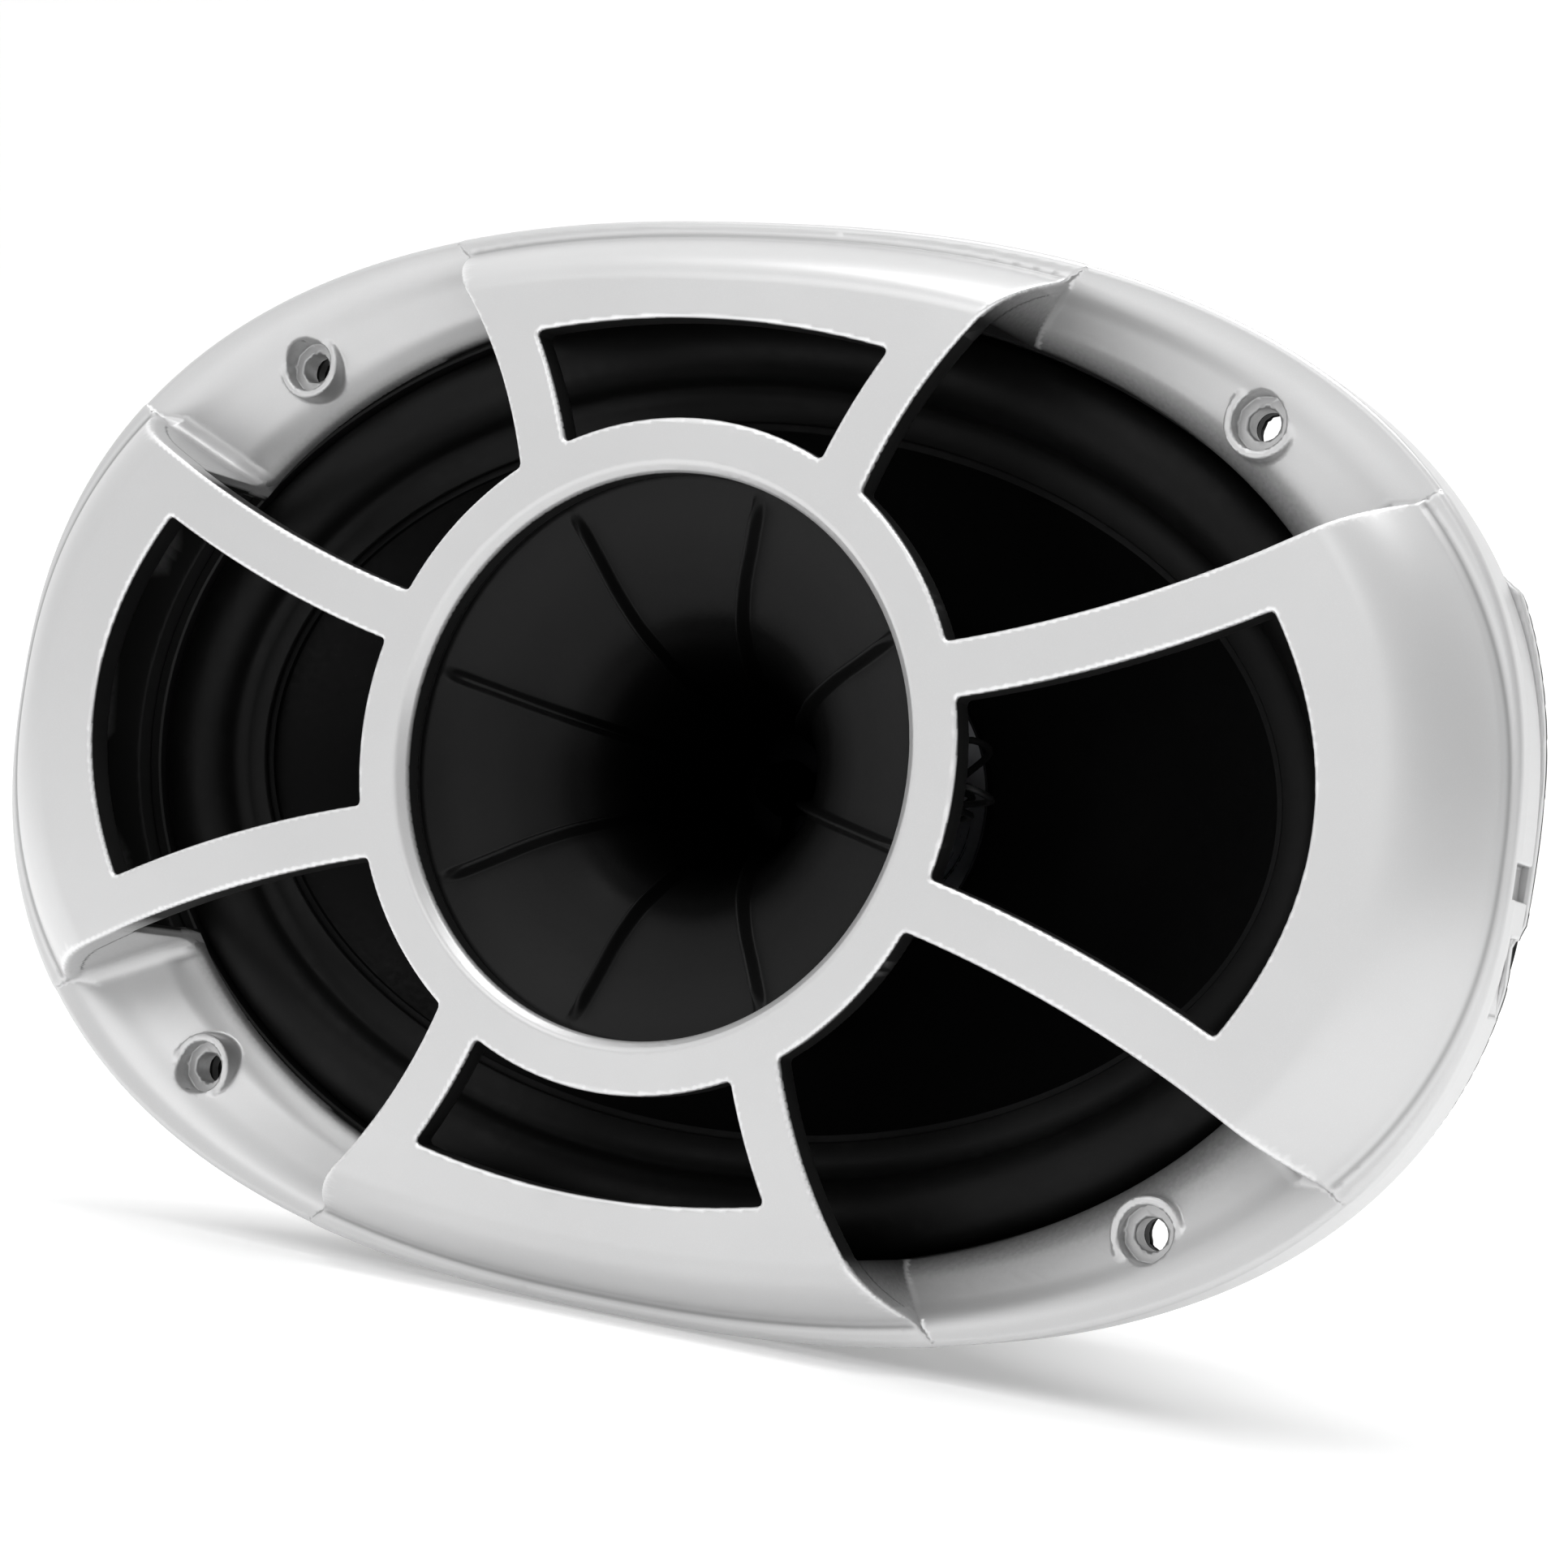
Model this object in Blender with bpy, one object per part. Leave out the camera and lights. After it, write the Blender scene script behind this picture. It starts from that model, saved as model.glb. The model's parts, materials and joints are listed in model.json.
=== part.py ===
"""Coaxial car speaker, 6 by 9 inch oval, with a horn loaded tweeter.

An oval woofer in a cast basket carries, on a hollow stud through its pole, a
compression tweeter with a ribbed horn. A one piece silver front moulding, the
grille, has four arms that join in a ring around the horn mouth, four sloping
pockets with screw bosses, and a low rim.

Local axes, in mm: X is the long way of the oval, Y the short way, Z runs
forward along the speaker axis. Everything hangs under one empty that turns Z
to the world's -Y, so the front faces -Y. World Y = 0 is half way between the
front of the grille and the back of the tweeter wires, on the speaker axis.
"""
import math
import bpy
import bmesh
from mathutils import Matrix, Vector

METRES_PER_MM = 0.001

# ------------------------------------------------------------------ driving sizes
# ovals: half length, half width, exponent
RIM = (123.6, 80.2, 2.4)          # outline of the grille
CREASE = (122.3, 77.8, 2.3)       # foot of the arms on the rim ledge
OPENING = (101.0, 71.0, 2.1)      # oval opening inside the corner pockets
FLANGE = (123.0, 79.6, 2.4)       # basket flange
WALL_IN = (106.2, 73.7, 2.0)      # basket wall, inside
WALL_OUT = (108.2, 75.7, 2.0)     # basket wall, outside
ROLL_OUT = (103.7, 71.2, 2.0)     # outer foot of the surround roll
ROLL_IN = (91.6, 59.1, 2.0)       # inner foot of the roll, edge of the cone
OVAL_SEGMENTS = 40
END_CROWDING = 0.68               # below 1 puts more segments at the ends of the ovals

CROWN_Z = 23.1                    # front of the grille
RIM_BACK = 2.0                    # back edge of the grille
MOUTH_R = 40.9                    # horn mouth and hole of the grille ring
FLANGE_BACK, FLANGE_FRONT = -0.7, 1.7
CONE_Z = -4.2                     # feet of the surround roll
SPIDER_Z = -48.6                  # seat of the spider
PLATE_R = 47.0                    # steel plates of the motor
FORMER_R = 25.6                   # voice coil former, outside
POT_R = 21.0                      # tweeter housing
STUD_R = 4.0
WIRE_R = 0.55                     # tweeter wires
WIRE_REAR_Z = -93.6               # centre of the wires where they run furthest back
MID_Z = (CROWN_Z + WIRE_REAR_Z - WIRE_R) / 2
NOTCH_Y = (-20.5, -9.5)           # notch at the +X end, through grille and flange


def in_quadrants(x, y):
    return [(side_x * x, side_y * y) for side_x in (1, -1) for side_y in (1, -1)]


QUADRANTS = in_quadrants(1, 1)
BOSSES = in_quadrants(79.5, 55.8)     # mounting screws
POST_X, POST_Y = 113.5, 20.0          # grille screws
POSTS = in_quadrants(POST_X, POST_Y)

# name: colour, roughness, metallic
MATERIALS = {
    "silver_paint": ((0.60, 0.60, 0.60), 0.38, 0.0),
    "horn_plastic": ((0.022, 0.022, 0.022), 0.50, 0.0),
    "black_plastic": ((0.03, 0.03, 0.032), 0.45, 0.0),
    "foam": ((0.02, 0.02, 0.02), 0.95, 0.0),
    "rubber": ((0.015, 0.015, 0.015), 0.62, 0.0),
    "cone_poly": ((0.02, 0.02, 0.021), 0.48, 0.0),
    "basket_polymer": ((0.025, 0.025, 0.026), 0.50, 0.0),
    "spider_cloth": ((0.32, 0.22, 0.09), 0.9, 0.0),
    "former_aluminium": ((0.70, 0.70, 0.70), 0.35, 1.0),
    "copper": ((0.72, 0.32, 0.15), 0.35, 1.0),
    "zinc_steel": ((0.62, 0.62, 0.60), 0.40, 1.0),
    "ferrite": ((0.06, 0.06, 0.062), 0.55, 0.0),
    "neodymium": ((0.68, 0.67, 0.64), 0.30, 1.0),
    "titanium": ((0.55, 0.54, 0.52), 0.32, 1.0),
    "polyimide": ((0.50, 0.28, 0.06), 0.40, 0.0),
    "tinned_blade": ((0.75, 0.74, 0.70), 0.28, 1.0),
    "screw_steel": ((0.55, 0.55, 0.56), 0.32, 1.0),
    "board_green": ((0.03, 0.14, 0.06), 0.5, 0.0),
    "capacitor_film": ((0.55, 0.30, 0.04), 0.35, 0.0),
    "wire_red": ((0.45, 0.02, 0.02), 0.5, 0.0),
    "wire_black": ((0.02, 0.02, 0.02), 0.5, 0.0),
    "tinsel": ((0.60, 0.42, 0.22), 0.45, 0.8),
}

# ------------------------------------------------------------------ scene
for old in list(bpy.data.objects):
    bpy.data.objects.remove(old, do_unlink=True)
parts = bpy.data.collections.new("coaxial_speaker")
helpers = bpy.data.collections.new("cutters")
bpy.context.scene.collection.children.link(parts)
bpy.context.scene.collection.children.link(helpers)
speaker_axis = bpy.data.objects.new("speaker_axis", None)
speaker_axis.rotation_euler = (math.pi / 2, 0, 0)
speaker_axis.location = (0, MID_Z * METRES_PER_MM, 0)
parts.objects.link(speaker_axis)


def material(name):
    found = bpy.data.materials.get(name)
    if found:
        return found
    colour, roughness, metallic = MATERIALS[name]
    made = bpy.data.materials.new(name)
    made.use_nodes = True
    made.diffuse_color = (*colour, 1)
    shader = made.node_tree.nodes["Principled BSDF"]
    shader.inputs["Base Color"].default_value = (*colour, 1)
    shader.inputs["Roughness"].default_value = roughness
    shader.inputs["Metallic"].default_value = metallic
    return made


def add_object(mesh, name, collection):
    """Turns a bmesh in millimetres into an object under the axis empty."""
    bmesh.ops.remove_doubles(mesh, verts=mesh.verts, dist=1e-4)
    bmesh.ops.recalc_face_normals(mesh, faces=mesh.faces)
    bmesh.ops.scale(mesh, vec=(METRES_PER_MM,) * 3, verts=mesh.verts)
    data = bpy.data.meshes.new(name)
    mesh.to_mesh(data)
    mesh.free()
    made = bpy.data.objects.new(name, data)
    made.parent = speaker_axis
    collection.objects.link(made)
    return made


def add_part(mesh, name, material_name, smooth=35):
    """A visible piece; edges sharper than `smooth` degrees stay hard."""
    part = add_object(mesh, name, parts)
    part.data.materials.append(material(material_name))
    part.data.shade_smooth()
    part.data.set_sharp_from_angle(angle=math.radians(smooth))
    return part


def add_helper(mesh, name):
    """A hidden body for the boolean modifiers."""
    helper = add_object(mesh, name, helpers)
    helper.hide_render = True
    helper.display_type = "WIRE"
    return helper


def boolean(target, helper, operation, solver="EXACT"):
    modifier = target.modifiers.new(operation.lower() + "_" + helper.name, "BOOLEAN")
    modifier.operation = operation
    modifier.object = helper
    modifier.solver = solver


def merge_flats(target):
    """Joins the coplanar slivers the booleans leave."""
    modifier = target.modifiers.new("merge_flats", "DECIMATE")
    modifier.decimate_type = "DISSOLVE"
    modifier.angle_limit = math.radians(1.0)


# ------------------------------------------------------------------ plan helpers
def polar(radius, degrees):
    return (radius * math.cos(math.radians(degrees)), radius * math.sin(math.radians(degrees)))


def arc(start, end, sag, count):
    """Points on a shallow arc that bows to the left of start->end by sag."""
    (x0, y0), (x1, y1) = start, end
    length = math.hypot(x1 - x0, y1 - y0)
    left_x, left_y = -(y1 - y0) / length, (x1 - x0) / length
    points = []
    for i in range(count + 1):
        share = i / count
        bow = 4 * share * (1 - share) * sag
        points.append((x0 + (x1 - x0) * share + left_x * bow,
                       y0 + (y1 - y0) * share + left_y * bow))
    return points


def ring_arc(radius, start, end, count):
    return [polar(radius, start + (end - start) * i / count) for i in range(count + 1)]


def mirrored(outline, side_x, side_y):
    points = [(side_x * x, side_y * y) for x, y in outline]
    return points if side_x * side_y > 0 else points[::-1]


def oval_radius(oval, angle):
    length, width, power = oval
    return (abs(math.cos(angle) / length) ** power
            + abs(math.sin(angle) / width) ** power) ** (-1 / power)


def widened(oval, margin):
    """The oval with both half axes longer by margin."""
    length, width, power = oval
    return (length + margin, width + margin, power)


def station_angles():
    for i in range(OVAL_SEGMENTS):
        turn = 2 * math.pi * i / OVAL_SEGMENTS
        yield math.atan2(END_CROWDING * math.sin(turn), math.cos(turn))


def oval_ring(oval, height, outset=0.0):
    """Points around an oval; height is a number or a function of x and y."""
    points = []
    for angle in station_angles():
        radius = oval_radius(oval, angle) + outset
        x, y = radius * math.cos(angle), radius * math.sin(angle)
        points.append((x, y, height(x, y) if callable(height) else height))
    return points


# ------------------------------------------------------------------ solid helpers
def loft(rings, closed=True):
    """Skins rings of equal count. A closed loft joins the last ring to the
    first, an open one caps both."""
    mesh = bmesh.new()
    rows = [[mesh.verts.new(point) for point in ring] for ring in rings]
    count = len(rows[0])
    pairs = list(zip(rows, rows[1:]))
    if closed:
        pairs.append((rows[-1], rows[0]))
    for near, far in pairs:
        for i in range(count):
            j = (i + 1) % count
            mesh.faces.new((near[i], near[j], far[j], far[i]))
    if not closed:
        mesh.faces.new(rows[0])
        mesh.faces.new(rows[-1])
    return mesh


def oval_loft(profile):
    """Closed loft through (oval, z) rows."""
    return loft([oval_ring(oval, z) for oval, z in profile])


def lathe(profile, steps):
    """Spins a closed (radius, z) outline about Z. An outline that starts and ends
    on the axis gives a solid with no hole."""
    mesh = bmesh.new()
    verts = [mesh.verts.new((radius, 0, z)) for radius, z in profile]
    edges = [mesh.edges.new(pair) for pair in zip(verts, verts[1:])]
    if not (profile[0][0] == 0 and profile[-1][0] == 0):
        edges.append(mesh.edges.new((verts[-1], verts[0])))
    bmesh.ops.spin(mesh, geom=verts + edges, cent=(0, 0, 0), axis=(0, 0, 1),
                   angle=2 * math.pi, steps=steps, use_merge=True)
    bmesh.ops.remove_doubles(mesh, verts=mesh.verts, dist=1e-4)
    return mesh


def tube(inner, outer, back, front, steps):
    """Plain ring about Z, or a disc when inner is 0."""
    return lathe([(inner, back), (outer, back), (outer, front), (inner, front)], steps)


def extruded(outline, offset):
    """Sweeps a flat outline of 3D points along offset."""
    mesh = bmesh.new()
    face = mesh.faces.new([mesh.verts.new(point) for point in outline])
    swept = bmesh.ops.extrude_face_region(mesh, geom=[face])["geom"]
    far = [item for item in swept if isinstance(item, bmesh.types.BMVert)]
    bmesh.ops.translate(mesh, vec=offset, verts=far)
    return mesh


def prism(outline, back, front):
    return extruded([(x, y, back) for x, y in outline], (0, 0, front - back))


def box(x_span, y_span, z_span):
    mesh = bmesh.new()
    spans = (x_span, y_span, z_span)
    bmesh.ops.create_cube(mesh, size=1)
    bmesh.ops.scale(mesh, vec=[high - low for low, high in spans], verts=mesh.verts)
    return move(mesh, *[(low + high) / 2 for low, high in spans])


def cylinder(radius, back, front, segments, x=0.0, y=0.0, front_radius=None):
    mesh = bmesh.new()
    bmesh.ops.create_cone(mesh, cap_ends=True, segments=segments, radius1=radius,
                          radius2=radius if front_radius is None else front_radius,
                          depth=front - back)
    return move(mesh, x, y, (back + front) / 2)


def move(mesh, x, y, z=0.0):
    bmesh.ops.translate(mesh, vec=(x, y, z), verts=mesh.verts)
    return mesh


def turn(mesh, degrees, axis):
    bmesh.ops.rotate(mesh, cent=(0, 0, 0), verts=mesh.verts,
                     matrix=Matrix.Rotation(math.radians(degrees), 3, axis))
    return mesh


def joined(meshes):
    """Puts separate bodies in one mesh."""
    whole = bmesh.new()
    for mesh in meshes:
        carrier = bpy.data.meshes.new("tmp")
        mesh.to_mesh(carrier)
        mesh.free()
        whole.from_mesh(carrier)
        bpy.data.meshes.remove(carrier)
    return whole


# ------------------------------------------------------------------ grille
RIM_Z = 11.7                      # front of the rim ledge
RIM_EDGE = 0.5                    # chamfer of the rim
SKIN = 2.2                        # thickness of the rim wall
BAR = 4.7                         # depth of the bars
CROWN_FALL = 0.9                  # drop of the crown from the axis to the crease
DOME_START = 0.885                # share of the crease oval where the roll-over begins
DOME_DROP = 10.8
RING_R = 48.75                    # grille ring, outside
BEVEL_R = 1.4                     # chamfer around the mouth
MOUTH_SEGMENTS = 48

# Edges of the spokes at the ring, degrees from X: window side, pocket side
LONG_SPOKE = (14.83, 24.4)
SHORT_SPOKE = (64.35, 54.8)
# Windows in the arms: outer corner, bow of the outer edge, bow of the side edges
LONG_CORNER, LONG_REACH, LONG_SAG = (90.5, 28.2), 9.3, 1.3
SHORT_CORNER, SHORT_REACH, SHORT_SAG = (29.0, 60.2), 3.1, 0.45
LONG_TIP, SHORT_TIP = (105.0, 45.8), (49.7, 73.0)   # where the arm edges meet the ledge
ARM_SAG = 2.7
ARM_WALL = 2.0                    # thickness of the side walls of the arms

# Pocket floors: shares of the way from the opening to the ledge, and heights
LIP_SHARE, BEND_SHARE = 0.14, 0.68
LIP_START_Z, LIP_Z, BEND_Z = 1.4, 3.6, 7.9
LOWER_RISE, UPPER_RISE = 7.96, 11.2     # climb per unit share, below and above the bend
FLOOR_T = 1.6
# Outline of the floor shell: share, depth below the floor surface
FLOOR_OUTLINE = (
    (0.0, 0.0), (0.05, 0.0), (0.14, 0.0), (0.40, 0.0), (0.68, 0.0), (1.0, 0.0),
    (1.0, FLOOR_T), (0.68, FLOOR_T), (0.40, FLOOR_T), (0.16, FLOOR_T), (0.06, 1.7), (0.0, 1.6),
)

BOSS_TOP, BOSS_R = 7.95, 5.3
POST_TOP, POST_R = 14.0, 3.4
# Stepped bore of a boss (radius, z): screw hole, seat of the head, head bore
BOSS_BORE = [(0, 0.0), (2.3, 0.0), (2.3, 5.6), (4.0, 5.6), (4.0, 14.0), (0, 14.0)]


def crown(x, y):
    """Front surface of the arms."""
    length, width, power = CREASE
    share = (abs(x / length) ** power + abs(y / width) ** power) ** (1 / power)
    z = CROWN_Z - CROWN_FALL * share * share
    if share > DOME_START:
        z -= DOME_DROP * ((share - DOME_START) / (1 - DOME_START)) ** 2
    return z


def crease_ring(share, height):
    length, width, power = CREASE
    return oval_ring((length * share, width * share, power), height)


def below_crown(depth):
    return lambda x, y: crown(x, y) - depth


def long_window():
    spoke = LONG_SPOKE[0]
    x, y = LONG_CORNER
    upper = arc(polar(RING_R, spoke), LONG_CORNER, -LONG_SAG, 4)
    outer = arc(LONG_CORNER, (x, -y), LONG_REACH, 10)
    lower = [(x, -y) for x, y in reversed(upper)]
    inner = ring_arc(RING_R, -spoke, spoke, 5)
    return upper[:-1] + outer[:-1] + lower[:-1] + inner[:-1]


def short_window():
    spoke = SHORT_SPOKE[0]
    x, y = SHORT_CORNER
    right = arc(polar(RING_R, spoke), SHORT_CORNER, SHORT_SAG, 3)
    outer = arc(SHORT_CORNER, (-x, y), -SHORT_REACH, 8)
    left = [(-x, y) for x, y in reversed(right)]
    inner = ring_arc(RING_R, 180 - spoke, spoke, 7)
    return right[:-1] + outer[:-1] + left[:-1] + inner[:-1]


def pocket_edges():
    """The two arm edges beside a pocket, from the ring outwards."""
    long_edge = arc(polar(RING_R, LONG_SPOKE[1]), LONG_TIP, -ARM_SAG, 6)
    short_edge = arc(polar(RING_R, SHORT_SPOKE[1]), SHORT_TIP, ARM_SAG, 6)
    return long_edge, short_edge


def pocket(grow=0.0, reach=1.0):
    """Plan of one corner pocket. grow moves the arm edges out in mm and widens the
    rim edge by as many degrees at each end; reach scales the rim edge."""
    long_edge, short_edge = pocket_edges()
    long_edge = [(x, y - grow) for x, y in long_edge]
    short_edge = [(x - grow, y) for x, y in short_edge]
    start = math.degrees(math.atan2(LONG_TIP[1], LONG_TIP[0])) - grow
    end = math.degrees(math.atan2(SHORT_TIP[1], SHORT_TIP[0])) + grow
    rim = []
    for i in range(7):
        degrees = start + (end - start) * i / 6
        rim.append(polar(oval_radius(CREASE, math.radians(degrees)) * reach, degrees))
    hub = ring_arc(RING_R, SHORT_SPOKE[1], LONG_SPOKE[1], 3)
    return long_edge[:-1] + rim + short_edge[-2:0:-1] + hub[:-1]


def grille_shell():
    rings = [crease_ring(share, crown) for share in (0.25, 0.60, 0.80, 0.885, 0.93, 0.965, 1.0)]
    rings += [
        oval_ring(RIM, RIM_Z, -RIM_EDGE),
        oval_ring(RIM, RIM_Z - RIM_EDGE),
        oval_ring(RIM, RIM_BACK),
        oval_ring(RIM, RIM_BACK, -SKIN),
        oval_ring(RIM, RIM_Z - 2.4, -SKIN),
        crease_ring(0.965, RIM_Z - 1.6),
    ]
    rings += [crease_ring(share, lambda x, y: crown(x, y) - BAR + 1.2) for share in (0.93, 0.885)]
    rings += [crease_ring(share, below_crown(BAR)) for share in (0.80, 0.25)]
    return loft(rings, closed=False)


def grille_openings():
    """The horn mouth, the four arm windows and the four pockets."""
    outlines = [long_window(), mirrored(long_window(), -1, 1),
                short_window(), mirrored(short_window(), 1, -1)]
    bodies = [prism(outline, -5, 40) for outline in outlines]
    bodies.append(cylinder(MOUTH_R, -5, 40, MOUTH_SEGMENTS))
    bodies += [prism(mirrored(pocket(), *sides), -5, 40) for sides in QUADRANTS]
    return joined(bodies)


def floor_height(share):
    if share < LIP_SHARE:
        return LIP_START_Z + (LIP_Z - LIP_START_Z) * math.sin(share / LIP_SHARE * math.pi / 2)
    if share < BEND_SHARE:
        return LIP_Z + (share - LIP_SHARE) * LOWER_RISE
    return BEND_Z + (share - BEND_SHARE) * UPPER_RISE


def floor_ring(share, depth):
    points = []
    for angle in station_angles():
        inner = oval_radius(OPENING, angle)
        outer = oval_radius(CREASE, angle) + 0.6
        radius = inner + (outer - inner) * share
        points.append((radius * math.cos(angle), radius * math.sin(angle),
                       floor_height(share) - depth))
    return points


def pocket_floors():
    """One oval shell, kept only under the four pockets."""
    floors = add_helper(loft([floor_ring(*row) for row in FLOOR_OUTLINE]), "pocket_floors")
    areas = [prism(mirrored(pocket(1.0, 1.02), *sides), -4, 30) for sides in QUADRANTS]
    boolean(floors, add_helper(joined(areas), "pocket_areas"), "INTERSECT")
    return floors


def band(edge, width):
    """Strip beside an edge, on its right for a positive width."""
    offset = []
    for i, (x, y) in enumerate(edge):
        x0, y0 = edge[max(i - 1, 0)]
        x1, y1 = edge[min(i + 1, len(edge) - 1)]
        length = math.hypot(x1 - x0, y1 - y0)
        offset.append((x + (y1 - y0) / length * width, y - (x1 - x0) / length * width))
    return edge + offset[::-1]


def arm_walls():
    """Side walls of the arms, from the crown down to the pocket floors."""
    rings = [crease_ring(share, below_crown(1.0)) for share in (0.84, 0.885, 0.93, 0.965, 0.99)]
    rings += [crease_ring(share, z)
              for share, z in ((0.99, 7.5), (0.93, 6.0), (0.90, 12.0), (0.84, 17.0))]
    walls = add_helper(loft(rings), "arm_walls")
    long_edge, short_edge = [edge[2:] for edge in pocket_edges()]
    strips = []
    for sides in QUADRANTS:
        strips.append(prism(mirrored(band(long_edge, ARM_WALL), *sides), 0, 30))
        strips.append(prism(mirrored(band(short_edge, -ARM_WALL)[::-1], *sides), 0, 30))
    boolean(walls, add_helper(joined(strips), "arm_edges"), "INTERSECT")
    return walls


def build_grille():
    grille = add_part(grille_shell(), "grille", "silver_paint", smooth=30)
    boolean(grille, add_helper(grille_openings(), "grille_openings"), "DIFFERENCE")
    chamfer = cylinder(MOUTH_R - 0.6, CROWN_Z - BEVEL_R - 2.2, CROWN_Z + 0.6, MOUTH_SEGMENTS,
                       front_radius=MOUTH_R + BEVEL_R + 1.0)
    boolean(grille, add_helper(chamfer, "mouth_chamfer"), "DIFFERENCE")
    boolean(grille, pocket_floors(), "UNION", "MANIFOLD")
    boolean(grille, arm_walls(), "UNION", "MANIFOLD")

    tubes = [cylinder(BOSS_R, RIM_BACK, BOSS_TOP, 20, *place) for place in BOSSES]
    tubes += [cylinder(POST_R, RIM_BACK, POST_TOP, 10, *place) for place in POSTS]
    boolean(grille, add_helper(joined(tubes), "boss_tubes"), "UNION", "MANIFOLD")
    holes = [move(lathe(BOSS_BORE, 16), *place) for place in BOSSES]
    holes += [cylinder(1.5, 0.0, 12.0, 8, *place) for place in POSTS]
    boolean(grille, add_helper(joined(holes), "boss_holes"), "DIFFERENCE", "MANIFOLD")
    notches = [box((118.0, 130.0), NOTCH_Y, (-1, 6.6)),
               box((119.5, 130.0), (-4.9, -0.2), (-1, 9.6))]
    boolean(grille, add_helper(joined(notches), "rim_notches"), "DIFFERENCE", "MANIFOLD")
    merge_flats(grille)


# ------------------------------------------------------------------ horn
# Inside of the horn (radius, z): shallow dish at the mouth, then a narrowing throat
HORN_FLARE = [
    (MOUTH_R, 17.1), (37.4, 15.2), (32.7, 13.5), (28.0, 11.9), (23.4, 9.2),
    (20.6, 6.4), (17.3, 2.0), (13.1, -6.5), (10.4, -14.0), (8.4, -22.3),
]
# Outside of the horn (radius, z), from the throat flange to the mouth
HORN_OUTSIDE = [
    (POT_R, -22.3), (POT_R, -19.8), (13.0, -19.4), (15.8, -6.5), (20.4, 2.0),
    (25.6, 7.2), (38.0, 13.4), (46.4, 15.7), (46.4, 17.1),
]
RIB_COUNT, RIB_START, RIB_T = 8, 32.0, 1.1      # start in degrees from X
RIB_FOOT_Z = (14.6, 11.9, 9.2, 6.4, 2.0, -6.5)
RIB_SINK, RIB_FOOT_DROP = 0.7, 0.5              # how far the foot sits in the horn wall
# z and height of the rib above the flare
RIB_CREST = ((-6.0, 0.3), (2.0, 1.1), (7.0, 1.5), (11.0, 1.3), (14.8, 0.1))
DRIVER_SCREWS = [polar(17.6, 90 + 120 * i) for i in range(3)]   # tweeter to horn


def flare_radius(z):
    for (front_r, front_z), (back_r, back_z) in zip(HORN_FLARE, HORN_FLARE[1:]):
        if z >= back_z:
            return back_r + (front_r - back_r) * (z - back_z) / (front_z - back_z)


def driver_holes(radius, back, front, segments):
    return joined([cylinder(radius, back, front, segments, *place) for place in DRIVER_SCREWS])


def build_horn():
    horn = add_part(lathe(HORN_FLARE + HORN_OUTSIDE, 32), "horn", "horn_plastic", smooth=40)
    outline = [(flare_radius(z) + RIB_SINK, -RIB_T / 2, z - RIB_FOOT_DROP) for z in RIB_FOOT_Z]
    outline += [(flare_radius(z) - height, -RIB_T / 2, z) for z, height in RIB_CREST]
    for i in range(RIB_COUNT):
        rib = turn(extruded(outline, (0, RIB_T, 0)), RIB_START + 360 / RIB_COUNT * i, "Z")
        boolean(horn, add_helper(rib, "horn_rib_%d" % (i + 1)), "UNION")
    holes = driver_holes(1.5, -23.0, -19.0, 10)
    boolean(horn, add_helper(holes, "horn_screw_holes"), "DIFFERENCE")


# ------------------------------------------------------------------ cone and surround
NECK_R, NECK_Z = 26.2, -42.0
CONE_T = 0.9
CONE_DIP = 3.0                    # sag of the cone wall behind the straight line
ROLL_H, ROLL_T = 5.5, 0.8
ROLL_HALF = (ROLL_OUT[0] - ROLL_IN[0]) / 2
ROLL_MID = ((ROLL_IN[0] + ROLL_OUT[0]) / 2, (ROLL_IN[1] + ROLL_OUT[1]) / 2, 2.0)
ROLL_STEPS = 5
CLAMP_BACK, CLAMP_FRONT = CONE_Z + 0.3, -0.7


def cone_point(share):
    """Half length, half width and z of the wall, from the neck (0) to the rim (1)."""
    neck = (NECK_R, NECK_R, NECK_Z)
    rim = (ROLL_IN[0], ROLL_IN[1], CONE_Z - 0.3)
    length, width, z = [low + (high - low) * share for low, high in zip(neck, rim)]
    return length, width, z - CONE_DIP * math.sin(math.pi * share)


def build_cone():
    wall = [cone_point(share) for share in (0.0, 0.25, 0.5, 0.75)]
    lip, lip_z = widened(ROLL_IN, -6.5), CONE_Z - 1.6
    profile = [((length, width, 2.0), z) for length, width, z in wall]
    profile += [(lip, lip_z), (ROLL_IN, CONE_Z - 1.3), (ROLL_IN, CONE_Z - 1.3 - CONE_T),
                (lip, lip_z - CONE_T)]
    profile += [((length + 0.5, width + 0.5, 2.0), z - CONE_T - 0.5)
                for length, width, z in wall[:0:-1]]
    profile.append(((NECK_R, NECK_R, 2.0), NECK_Z - 1.2))
    add_part(oval_loft(profile), "cone", "cone_poly", smooth=40)


def roll_arc(shrink, drop, steps):
    """Rows over the roll, from its inner foot outwards."""
    rows = []
    for i in steps:
        angle = math.pi - math.pi * i / ROLL_STEPS
        rows.append((widened(ROLL_MID, ROLL_HALF * math.cos(angle) * shrink),
                     CONE_Z - drop + ROLL_H * math.sin(angle)))
    return rows


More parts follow.
